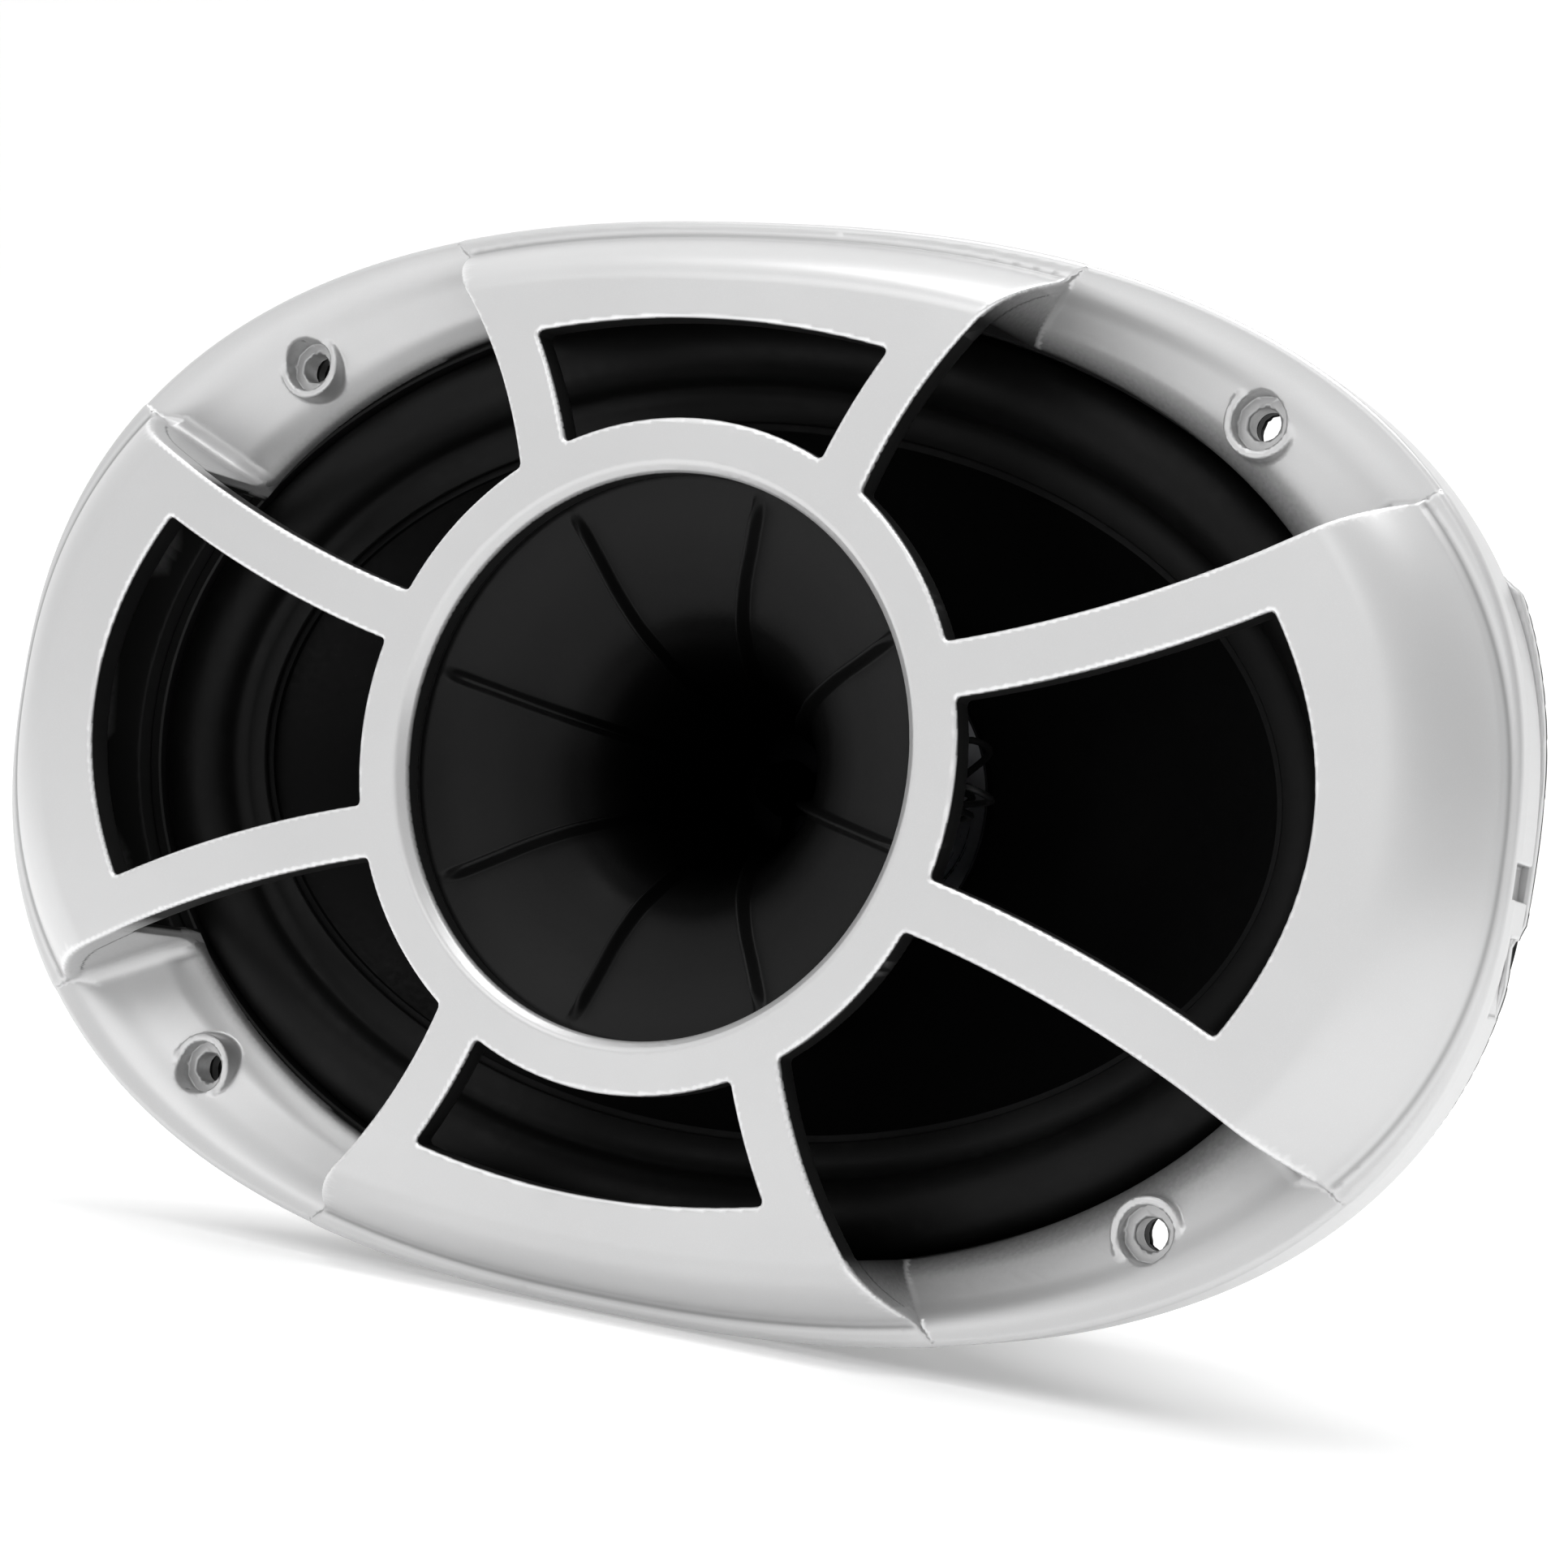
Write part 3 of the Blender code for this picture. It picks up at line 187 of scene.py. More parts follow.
def poly_distance(x, y, poly):
    """Signed distance to a closed outline, negative inside."""
    best = np.full(x.shape, 1e12)
    odd = np.zeros(x.shape, bool)
    m = len(poly)
    for i in range(m):
        (ax, ay), (bx, by) = poly[i], poly[(i + 1) % m]
        dx, dy = bx - ax, by - ay
        t = np.clip(((x - ax) * dx + (y - ay) * dy) / (dx * dx + dy * dy), 0, 1)
        best = np.minimum(best, (x - ax - t * dx) ** 2 + (y - ay - t * dy) ** 2)
        if ay != by:
            odd ^= ((ay > y) != (by > y)) & (x < (bx - ax) * (y - ay) / (by - ay) + ax)
    d = np.sqrt(best)
    return np.where(odd, -d, d)


class Plan:
    """A plan distance kept on a fine grid of one quadrant and read by bilinear steps."""
    H, NX, NY = 0.25, 560, 380

    def __init__(self, poly, r):
        gx, gy = np.meshgrid(np.arange(self.NX) * self.H - 2.0, np.arange(self.NY) * self.H - 2.0, indexing="ij")
        self.f = poly_distance(gx, gy, inset(poly, r) if r else np.array(poly, float)) - r

    def __call__(self, x, y):
        u = np.clip((np.abs(x) + 2.0) / self.H, 0, self.NX - 1.001)
        v = np.clip((np.abs(y) + 2.0) / self.H, 0, self.NY - 1.001)
        i, j = u.astype(int), v.astype(int)
        u, v = u - i, v - j
        f = self.f
        return ((f[i, j] * (1 - u) + f[i + 1, j] * u) * (1 - v)
                + (f[i, j + 1] * (1 - u) + f[i + 1, j + 1] * u) * v)


# ------------------------------------------------------------------ surfaces from a distance function
CORNERS = [(i, j, k) for i in (0, 1) for j in (0, 1) for k in (0, 1)]
EDGES = [(a, b) for a in CORNERS for b in CORNERS if a < b and sum(abs(p - q) for p, q in zip(a, b)) == 1]


def surface_nets(f, origin, h):
    """One vertex per cell that the surface crosses, one quad per grid edge it crosses."""
    inside = f < 0
    nx, ny, nz = f.shape
    count = np.zeros((nx - 1, ny - 1, nz - 1), np.uint8)
    for i, j, k in CORNERS:
        count += inside[i:nx - 1 + i, j:ny - 1 + j, k:nz - 1 + k]
    active = (count > 0) & (count < 8)
    ids = np.full(active.shape, -1, np.int64)
    ids[active] = np.arange(int(active.sum()))
    ci = np.stack(np.nonzero(active), 1)
    pos = np.zeros((len(ci), 3))
    num = np.zeros(len(ci))
    for a, b in EDGES:
        fa = f[ci[:, 0] + a[0], ci[:, 1] + a[1], ci[:, 2] + a[2]]
        fb = f[ci[:, 0] + b[0], ci[:, 1] + b[1], ci[:, 2] + b[2]]
        cross = (fa < 0) != (fb < 0)
        t = np.where(cross, fa / np.where(cross, fa - fb, 1), 0)
        p = np.array(a) + t[:, None] * (np.array(b) - np.array(a))
        pos += p * cross[:, None]
        num += cross
    verts = (ci + pos / num[:, None]) * h + np.array(origin)
    quads = []
    for axis in range(3):
        lo = [slice(1, -1)] * 3
        hi = [slice(1, -1)] * 3
        lo[axis], hi[axis] = slice(0, -1), slice(1, None)
        e = inside[tuple(lo)] != inside[tuple(hi)]
        g = np.stack(np.nonzero(e), 1)
        for other in range(3):
            if other != axis:
                g[:, other] += 1
        u, v = (axis + 1) % 3, (axis + 2) % 3
        eu, ev = np.eye(3, dtype=int)[u], np.eye(3, dtype=int)[v]
        c = [ids[tuple((g - eu - ev).T)], ids[tuple((g - ev).T)], ids[tuple(g.T)], ids[tuple((g - eu).T)]]
        q = np.stack(c, 1)
        solid_low = inside[tuple(g.T)]
        q[~solid_low] = q[~solid_low][:, ::-1]
        quads.append(q)
    return verts, np.concatenate(quads)


def gradient(fn, p, e=0.04):
    g = np.empty_like(p)
    for a in range(3):
        d = np.zeros(3)
        d[a] = e
        g[:, a] = (fn(*(p + d).T) - fn(*(p - d).T)) / (2 * e)
    return g


def quick_gradient(fn, p, f0, e=0.02):
    g = np.empty_like(p)
    for a in range(3):
        d = np.zeros(3)
        d[a] = e
        g[:, a] = (fn(*(p + d).T) - f0) / e
    return g


def settle(fn, p, h, rounds=2):
    """Moves vertices onto the surface."""
    for _ in range(rounds):
        f0 = fn(*p.T)
        g = quick_gradient(fn, p, f0)
        s = -f0 / np.maximum(np.sum(g * g, 1), 0.05)
        p = p + np.clip(s, -0.5 * h, 0.5 * h)[:, None] * g
    return p


def raw_mesh(name, verts, faces, world=True):
    """Mesh from arrays; faces all have one length."""
    verts = to_world(verts) if world else np.asarray(verts, float)
    faces = np.asarray(faces, np.int64)
    me = bpy.data.meshes.new(name)
    me.vertices.add(len(verts))
    me.vertices.foreach_set("co", verts.astype(np.float32).ravel())
    n, k = faces.shape
    me.loops.add(n * k)
    me.loops.foreach_set("vertex_index", faces.astype(np.int32).ravel())
    me.polygons.add(n)
    me.polygons.foreach_set("loop_start", (np.arange(n) * k).astype(np.int32))
    me.update(calc_edges=True)
    me.polygons.foreach_set("use_smooth", np.ones(n, bool))
    return me


def solid(name, fn, lo, hi, h, faces_wanted=None):
    """Object from a distance function in design millimetres, with exact normals."""
    axes = [np.arange(a, b + h, h) for a, b in zip(lo, hi)]
    x, y, z = np.meshgrid(*axes, indexing="ij", sparse=True)
    f = fn(x, y, z).astype(np.float32)
    verts, quads = surface_nets(f, lo, h)
    thin_it = faces_wanted and 2 * len(quads) > faces_wanted
    verts = settle(fn, verts, h, 1 if thin_it else 2)
    me = raw_mesh(name, verts, quads)
    if thin_it:
        ob = bpy.data.objects.new(name + "_dense", me)
        bpy.context.scene.collection.objects.link(ob)
        mod = ob.modifiers.new("thin", "DECIMATE")
        mod.ratio = faces_wanted / (2 * len(quads))
        bpy.context.view_layer.update()
        thin = bpy.data.meshes.new_from_object(ob.evaluated_get(bpy.context.evaluated_depsgraph_get()))
        bpy.data.objects.remove(ob)
        bpy.data.meshes.remove(me)
        me = thin
        me.name = name
        co = np.empty(len(me.vertices) * 3)
        me.vertices.foreach_get("co", co)
        w = co.reshape(-1, 3) / MM
        p = np.stack([w[:, 0], w[:, 2], -(w[:, 1] - MID_Z)], 1)
        verts = settle(fn, p, h, 1)
        me.vertices.foreach_set("co", to_world(verts).astype(np.float32).ravel())
        me.update()
    n = gradient(fn, verts, 0.06)
    n /= np.maximum(np.linalg.norm(n, axis=1), 1e-9)[:, None]
    me.normals_split_custom_set_from_vertices(dir_world(n).tolist())
    ob = bpy.data.objects.new(name, me)
    bpy.context.scene.collection.objects.link(ob)
    return ob, verts, n


def attribute(ob, name, values):
    at = ob.data.attributes.new(name, "FLOAT", "POINT")
    at.data.foreach_set("value", np.asarray(values, np.float32))


def put(ob, node, mat, ride=True, extra=()):
    """Material, body and the CAD node this piece stands for."""
    if mat is not None:
        ob.data.materials.clear()
        ob.data.materials.append(mat)
    if ride:
        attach(ob, BODY[node])
    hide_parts(node, *extra)
    return ob


# ------------------------------------------------------------------ front moulding
def long_window():
    upper = arc(polar(RING_R, SPOKE_IN), H_CORNER, -H_SAG, 10)
    outer = arc(H_CORNER, (H_CORNER[0], -H_CORNER[1]), H_REACH, 28)
    lower = [(x, -y) for x, y in reversed(upper)]
    inner = ring_arc(RING_R, -SPOKE_IN, SPOKE_IN, 14)
    return upper[:-1] + outer[:-1] + lower[:-1] + inner[:-1]


def short_window():
    right = arc(polar(RING_R, POST_IN), V_CORNER, V_SAG, 6)
    outer = arc(V_CORNER, (-V_CORNER[0], V_CORNER[1]), -V_REACH, 24)
    left = [(-x, y) for x, y in reversed(right)]
    inner = ring_arc(RING_R, 180 - POST_IN, POST_IN, 18)
    return right[:-1] + outer[:-1] + left[:-1] + inner[:-1]


def pocket():
    """One corner between two arms, left open beyond the ledge."""
    low = arc(polar(RING_R, SPOKE_OUT), H_TIP, -ARM_SAG, 18)
    high = arc(polar(RING_R, POST_OUT), V_TIP, ARM_SAG, 14)
    dl = np.array(low[-1]) - np.array(low[-2])
    dh = np.array(high[-1]) - np.array(high[-2])
    far_l = tuple(np.array(low[-1]) + dl / np.linalg.norm(dl) * 30)
    far_h = tuple(np.array(high[-1]) + dh / np.linalg.norm(dh) * 26)
    hub = ring_arc(RING_R, POST_OUT, SPOKE_OUT, 16)
    return low + [far_l, (140.0, 96.0), far_h] + high[::-1][:-1] + hub[:-1]


LONG, SHORT, POCKET = Plan(long_window(), 0.7), Plan(short_window(), 0.7), Plan(pocket(), 0.7)


def crown(x, y, s):
    k = np.maximum(s - DOME_START, 0) / (1 - DOME_START)
    return CROWN_Z - 0.9 * s * s - DOME_DROP * k * k


def pocket_t(x, y):
    ang = np.arctan2(np.abs(y), np.abs(x))
    r0, r1 = oval_r(OPENING, ang), oval_r(CREASE, ang) + 0.6
    return (np.hypot(x, y) - r0) / (r1 - r0), r1 - r0


def soft(x, w):
    """max(x, 0) with a smooth start of width w."""
    return 0.5 * (x + np.sqrt(x * x + w * w))


def floor_z(t):
    u = 1 - np.clip(t / 0.30, 0, 1)
    z = 1.4 + 2.5 * (1 - u * u) + 8.6 * soft(t - 0.14, 0.10) + 0.5 * step(0.6, 1.0, t)
    top = RIM_Z + 0.22
    return np.minimum(z, top) - np.maximum(2.6 - np.abs(z - top), 0) ** 2 / 10.4


def grille_fn(x, y, z):
    s = oval_s(CREASE, x, y)
    r = np.hypot(x, y)
    d_long, d_short, d_pocket = LONG(x, y), SHORT(x, y), POCKET(x, y)
    d_open = oval_d(OPENING, x, y)
    d_rim = oval_d(RIM, x, y)
    d_crease = oval_d(CREASE, x, y)
    t, width = pocket_t(x, y)
    zc = crown(x, y, s)
    slope = 2 * DOME_DROP * np.maximum(s - DOME_START, 0) / (1 - DOME_START) ** 2 / 100.0
    level = 1 / np.sqrt(1 + slope * slope)
    # arms, ring and the ledge they stand on, with a fine groove at their foot
    top = join_r((z - zc) * level, z - RIM_Z, 1.3)
    top = top + 0.10 * np.exp(-((d_crease - 0.15) / 0.90) ** 2) * step(0.3, 1.6, d_pocket)
    under = np.maximum(zc - BAR, 7.2) - z
    plan = meet_r(meet_r(-d_long, -d_short, 0.3), d_pocket * -1, 0.3)
    arms = meet_r(top, plan, 0.6)
    arms = meet_r(arms, r * -1 + MOUTH_R, 0.5)
    chamfer = (z - (CROWN_Z - 1.55) + MOUTH_R - r) * 0.7071
    arms = meet_r(arms, chamfer, 0.35)
    arms = meet_r(arms, under, 0.6)
    arms = meet_r(arms, d_rim, 1.0)
    # side walls that carry the arm edges down to the floor, ending square above its inner lip
    wall = meet_r(np.maximum((z - zc) * level + 0.6, 1.5 - z), -d_pocket, 0.4)
    wall = meet_r(np.maximum(wall, d_pocket - 2.0), -d_open, 0.3)
    wall = np.maximum(wall, (s - 0.995) * 60)
    # pocket floor, level with the ledge at its outer edge
    ft = (floor_z(t + 0.02) - floor_z(t - 0.02)) / 0.04 / width
    cosf = 1 / np.sqrt(1 + ft * ft)
    floor_top = meet_r((z - floor_z(t)) * cosf, z - RIM_Z, 0.9)
    floor = meet_r(floor_top, -d_open, 0.55)
    low = np.maximum(np.minimum(floor_z(t), RIM_Z) - FLOOR_T - 0.8 * (1 - step(0.0, 0.16, t)), -0.25)
    floor = meet_r(floor, (low - z) * cosf, 0.5)
    floor = np.maximum(meet_r(floor, d_rim, 1.0), d_pocket - 1.6)
    foot = 0.9 + 2.3 * step(68.0, 84.0, np.abs(x))
    floor = join_r(wall, floor, np.clip(0.5 * (zc - 1.0 - floor_z(t)), 0.8, foot))
    floor = np.maximum(floor, np.maximum((low - z) * cosf, d_pocket - 2.2))
    floor = meet_r(floor, -d_open, 0.45)
    # rim, whose top follows the pocket floor between the arms
    ring_top = np.maximum(z - RIM_Z + 0.02, floor_top + 0.02 - 9 * step(-0.2, 1.2, d_pocket))
    ring = np.maximum(meet_r(d_rim, ring_top, 1.0), -(d_rim + SKIN))
    ring = meet_r(ring, RIM_BACK - z, 0.3)
    body = np.minimum(floor, ring)
    # bosses
    bx, by = np.abs(x) - BOSS_X, np.abs(y) - BOSS_Y
    rb = np.hypot(bx, by)
    tube = meet_r(meet_r(rb - BOSS_R, z - BOSS_TOP, 0.4), RIM_BACK - z, 0.4)
    body = join_r(body, tube, 0.5)
    rp = np.hypot(np.abs(x) - 113.5, np.abs(y) - 20.0)
    body = np.minimum(body, np.maximum(rp - 3.4, np.maximum(z - 13.2, RIM_BACK - z)))
    body = join_r(arms, body, 0.35)
    bore = np.minimum(np.maximum(rb - BORE_R, SEAT_Z - z), rb - HOLE_R)
    body = meet_r(body, -bore, 0.3)
    body = np.maximum(body, -np.maximum(rp - 1.5, z - 12.0))
    # the notch and the slot in the right side of the rim
    notch = np.maximum(np.maximum(np.abs(y + 15.0) - 5.2, z - 6.3), 121.35 - x)
    notch = np.minimum(notch, np.maximum(np.maximum(np.abs(y + 2.55) - 2.35, z - 9.6), 122.2 - x))
    return meet_r(body, -notch, 0.35)



# ------------------------------------------------------------------ ring and lathe meshes
def link(name, me):
    ob = bpy.data.objects.new(name, me)
    bpy.context.scene.collection.objects.link(ob)
    return ob


def area_normals(me):
    """Normals weighted by face area, so that flats stay flat beside small roundings."""
    n = len(me.vertices)
    co = np.empty(n * 3)
    me.vertices.foreach_get("co", co)
    co = co.reshape(-1, 3)
    acc = np.zeros((n, 3))
    for poly in me.polygons:
        idx = list(poly.vertices)
        w = np.array(poly.normal) * poly.area
        acc[idx] += w
    acc /= np.maximum(np.linalg.norm(acc, axis=1), 1e-20)[:, None]
    me.normals_split_custom_set_from_vertices(acc.tolist())


def ring_mesh(name, rings, closed=True, weld=False):
    """Skins rings of equal count; every ring is a closed loop of points in design millimetres."""
    p = np.asarray(rings, float)
    m, n, _ = p.shape
    i = np.arange(m if closed else m - 1)[:, None]
    j = np.arange(n)[None, :]
    a, b = i * n + j, i * n + (j + 1) % n
    d, c = ((i + 1) % m) * n + j, ((i + 1) % m) * n + (j + 1) % n
    faces = np.stack(np.broadcast_arrays(a, b, c, d), -1).reshape(-1, 4)
    v = p.reshape(-1, 3)
    q = v - v.mean(0)
    vol = np.sum(q[faces[:, 0]] * np.cross(q[faces[:, 1]], q[faces[:, 2]]))
    vol += np.sum(q[faces[:, 0]] * np.cross(q[faces[:, 2]], q[faces[:, 3]]))
    if vol < 0:
        faces = faces[:, ::-1]
    me = raw_mesh(name, v, faces)
    if weld:
        bm = bmesh.new()
        bm.from_mesh(me)
        bmesh.ops.remove_doubles(bm, verts=bm.verts, dist=2e-7)
        bm.to_mesh(me)
        bm.free()
    return me


def fillet(points, radius, seg=4, closed=True):
    """Rounds the corners of a profile. A point may carry its own radius as a third number."""
    pts = [np.array(q[:2], float) for q in points]
    rad = [q[2] if len(q) > 2 else radius for q in points]
    n, out = len(pts), []
    for i, q in enumerate(pts):
        if (not closed and i in (0, n - 1)) or q[0] == 0 or rad[i] <= 0:
            out.append(q)
            continue
        a, b = pts[i - 1] - q, pts[(i + 1) % n] - q
        la, lb = np.linalg.norm(a), np.linalg.norm(b)
        a, b = a / la, b / lb
        ang = math.acos(np.clip(a @ b, -1, 1))
        if ang > 2.95:
            out.append(q)
            continue
        r = min(rad[i], 0.45 * min(la, lb) * math.tan(ang / 2))
        c = q + (a + b) / np.linalg.norm(a + b) * r / math.sin(ang / 2)
        s = q + a * r / math.tan(ang / 2) - c
        e = q + b * r / math.tan(ang / 2) - c
        a0 = math.atan2(s[1], s[0])
        da = (math.atan2(e[1], e[0]) - a0 + math.pi) % (2 * math.pi) - math.pi
        for k in range(seg + 1):
            out.append(c + r * np.array([math.cos(a0 + da * k / seg), math.sin(a0 + da * k / seg)]))
    return np.array(out)


def smooth_curve(points, per):
    """Catmull-Rom through the points."""
    p = np.array(points, float)
    p = np.vstack([2 * p[0] - p[1], p, 2 * p[-1] - p[-2]])
    out = []
    for a, b, c, d in zip(p, p[1:], p[2:], p[3:]):
        for i in range(per):
            t = i / per
            out.append(0.5 * (2 * b + (c - a) * t + (2 * a - 5 * b + 4 * c - d) * t * t
                              + (3 * b - a - 3 * c + d) * t ** 3))
    out.append(p[-2])
    return np.array(out)


def spin(profile, seg=128, start=0.0):
    ang = start + np.arange(seg) * 2 * math.pi / seg
    pr = np.asarray(profile, float)
    r, z = pr[:, 0][:, None], pr[:, 1][:, None]
    r = np.maximum(r, 1e-7)
    return np.stack([r * np.cos(ang), r * np.sin(ang), np.broadcast_to(z, (len(pr), seg))], -1)


def lathe(name, profile, radius=0.3, seg=128, at=(0, 0, 0), on_axis=False, rounded=4):
    pr = fillet(profile, radius, rounded, closed=not on_axis) if radius else np.array(profile, float)
    rings = spin(pr, seg) + np.array(at, float)
    me = ring_mesh(name, rings, closed=not on_axis, weld=on_axis)
    area_normals(me)
    return link(name, me)


def oval_rings(profile, n, shape=2.0):
    """profile rows are half length, half width and z."""
    t = 2 * math.pi * np.arange(n) / n
    ang = np.arctan2(0.68 * np.sin(t), np.cos(t))
    out = []
    for a, b, z in profile:
        r = oval_r((a, b, shape), ang)
        out.append(np.stack([r * np.cos(ang), r * np.sin(ang), np.full(n, z)], -1))
    return np.array(out)


# ------------------------------------------------------------------ horn
HORN = [(40.9, 17.1), (37.4, 15.2), (32.7, 13.5), (28.0, 11.9), (23.4, 9.2), (20.6, 6.4), (17.3, 2.0), (13.1, -6.5),
        (10.4, -14.0), (8.4, -22.3)]


def make_horn():
    front = smooth_curve(HORN, 9)
    back = fillet([(21.0, -22.3), (21.0, -19.8), (13.0, -19.4), (15.8, -6.5), (20.4, 2.0), (25.6, 7.2), (38.0, 13.4),
                   (46.4, 15.7), (46.4, 17.1), (42.0, 17.1, 0)], 0.5, 4, closed=False)
    profile = np.vstack([front, [[8.9, -22.3]], back])
    cols = []
    for i in range(8):
        c = 32.0 + 45 * i
        cols += list(c + np.linspace(-4.2, 4.2, 35)) + list(c + np.linspace(4.2, 40.8, 14)[1:-1])
    ang = np.radians(np.array(cols))
    rings = np.empty((len(profile), len(ang), 3))
    off = np.radians((np.degrees(ang) - 32.0 + 22.5) % 45.0 - 22.5)
    tangent = np.gradient(front, axis=0)
    tangent /= np.linalg.norm(tangent, axis=1)[:, None]
    for i, (r, z) in enumerate(profile):
        rr, zz = np.full(len(ang), r), np.full(len(ang), z)
        if i < len(front):
            h = 2.2 * step(40.9, 37.0, r) * step(10.2, 16.5, r)
            d = np.abs(off) * r
            bump = h * (1 - step(0.08, 1.15, d))
            nx, nz = tangent[i][1], -tangent[i][0]
            if nx > 0:
                nx, nz = -nx, -nz
            rr = rr + nx * bump
            zz = zz + nz * bump
        rings[i] = np.stack([rr * np.cos(ang), rr * np.sin(ang), zz], -1)
    me = ring_mesh("horn_body", rings)
    me.set_sharp_from_angle(angle=math.radians(60))
    return link("horn_body", me)


# ------------------------------------------------------------------ cone, surround, spider
def between(p, q, t):
    return tuple(u + (v - u) * t for u, v in zip(p, q))


def make_cone():
    top, neck = (ROLL_IN[0], ROLL_IN[1], CONE_Z - 0.3), (25.66, 25.66, -42.0)
    front = []
    for i in range(33):
        t = 0.93 * i / 32
        a, b, z = between(neck, top, t)
        front.append((a, b, z - 3.0 * math.sin(math.pi * t)))
    lip = (ROLL_IN[0] - 6.5, ROLL_IN[1] - 6.5, CONE_Z - 1.6)
    rim = [lip, between(lip, (ROLL_IN[0], ROLL_IN[1], CONE_Z - 1.3), 0.5),
           (ROLL_IN[0] - 0.2, ROLL_IN[1] - 0.2, CONE_Z - 1.3), (ROLL_IN[0], ROLL_IN[1], CONE_Z - 1.5),
           (ROLL_IN[0], ROLL_IN[1], CONE_Z - 2.0), (ROLL_IN[0] - 0.2, ROLL_IN[1] - 0.2, CONE_Z - 2.2)]
    back = [(a + 0.5, b + 0.5, z - 1.4) for a, b, z in front]
    back[0] = (25.66, 25.66, -43.2)
    profile = front + rim + [(lip[0], lip[1], lip[2] - 0.9)] + back[::-1]
    me = ring_mesh("cone_body", oval_rings(profile, 256))
    me.set_sharp_from_angle(angle=math.radians(50))
    return link("cone_body", me)


def make_surround():
    mid = [(ROLL_IN[k] + ROLL_OUT[k]) / 2 for k in (0, 1)]
    half = (ROLL_OUT[0] - ROLL_IN[0]) / 2
    up, down = [], []
    for i in range(25):
        ang = math.pi * (1 - i / 24)
        c, h = math.cos(ang), math.sin(ang)
        up.append((mid[0] + half * c, mid[1] + half * c, CONE_Z + 5.5 * h ** 0.92))
        k = (half - 0.8) / half
        down.append((mid[0] + half * c * k, mid[1] + half * c * k, CONE_Z - 0.8 + 5.5 * h ** 0.92))
    inner = (ROLL_IN[0] - 5.5, ROLL_IN[1] - 5.5)
    outer = (WALL_IN[0] - 0.3, WALL_IN[1] - 0.3)
    profile = [(inner[0], inner[1], CONE_Z - 0.75), (inner[0] + 0.25, inner[1] + 0.25, CONE_Z - 0.5),
               (ROLL_IN[0] - 2.5, ROLL_IN[1] - 2.5, CONE_Z - 0.45), (ROLL_IN[0] - 0.6, ROLL_IN[1] - 0.6, CONE_Z - 0.25)]
    profile += up[1:-1]
    profile += [(ROLL_OUT[0] + 0.5, ROLL_OUT[1] + 0.5, CONE_Z + 0.1), (outer[0], outer[1], CONE_Z),
                (outer[0], outer[1], CONE_Z - 0.6), (ROLL_OUT[0] - 1.2, ROLL_OUT[1] - 1.2, CONE_Z - 0.6)]
    profile += down[1:-1][::-1]
    profile += [(ROLL_IN[0] + 0.6, ROLL_IN[1] + 0.6, CONE_Z - 1.1), (inner[0], inner[1], CONE_Z - 1.25)]
    me = ring_mesh("surround_roll", oval_rings(profile, 256))
    me.set_sharp_from_angle(angle=math.radians(60))
    return link("surround_roll", me)


def make_spider():
    top = [(26.05, -46.6), (27.2, -46.6)]
    rs = np.linspace(27.8, 44.0, 98)
    top += [(r, -47.15 + 0.55 * math.sin((r - 27.8) / 2.53 * 2 * math.pi - 1.2)) for r in rs]
    top += [(44.8, -47.9), (45.4, -47.95), (49.4, -47.95)]
    low = [(49.6, -48.15), (49.4, -48.3), (45.2, -48.3), (44.4, -48.2)]
    low += [(r, -47.7 + 0.55 * math.sin((r - 27.8) / 2.53 * 2 * math.pi - 1.2)) for r in rs[::-1]]
    low += [(27.2, -47.3), (26.05, -47.3)]
    me = ring_mesh("spider_disc", spin(top + low, 128))
    me.set_sharp_from_angle(angle=math.radians(60))
    return link("spider_disc", me)


def radial_blend(ob, weights):
    """Bakes the transform into the mesh and works out blend weights, 0 with the frame and 1 with the moving body; the
    weights are not kept.
    """
    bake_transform(ob)
    co = np.empty(len(ob.data.vertices) * 3)
    ob.data.vertices.foreach_get("co", co)
    w = co.reshape(-1, 3) / MM
    p = np.stack([w[:, 0], w[:, 2], -(w[:, 1] - MID_Z)], 1)
    weights(p).astype(np.float32)


# ------------------------------------------------------------------ basket and gasket
BASKET_IN = [(101.2, 68.7, -5.0), (92.5, 61.5, -12.0), (76.0, 56.5, -26.0), (51.0, 48.5, -45.6), (50.2, 50.2, -48.6)]
BASKET_OUT = [(108.2, 75.7, -7.2), (96.0, 64.8, -12.5), (79.5, 59.6, -26.6), (56.0, 53.0, -45.1), (53.0, 52.5, -49.6),
              (47.0, 47.0, -58.5)]
LEGS = [0, 58, 122, 180, 238, 302]


def graded(table, z):
    rows = sorted(table, key=lambda q: q[2])
    zs = [q[2] for q in rows]
    return np.interp(z, zs, [q[0] for q in rows]), np.interp(z, zs, [q[1] for q in rows])


def slab_box(x, y, z, lo, hi, r):
    d = [np.abs(v - (a + b) / 2) - (b - a) / 2 for v, a, b in zip((x, y, z), lo, hi)]
    return meet_r(meet_r(d[0], d[1], r), d[2], r)


def flange_d(x, y):
    """Outline of the flange with the locating tab on its right side."""
    grow = step(-9.3, -7.6, y) * step(39.0, 35.5, y) * (x > 0) * (0.5 + 1.3 * np.clip((y + 8.5) / 46.5, 0, 1) ** 2)
    return oval_d(FLANGE, x, y) - grow


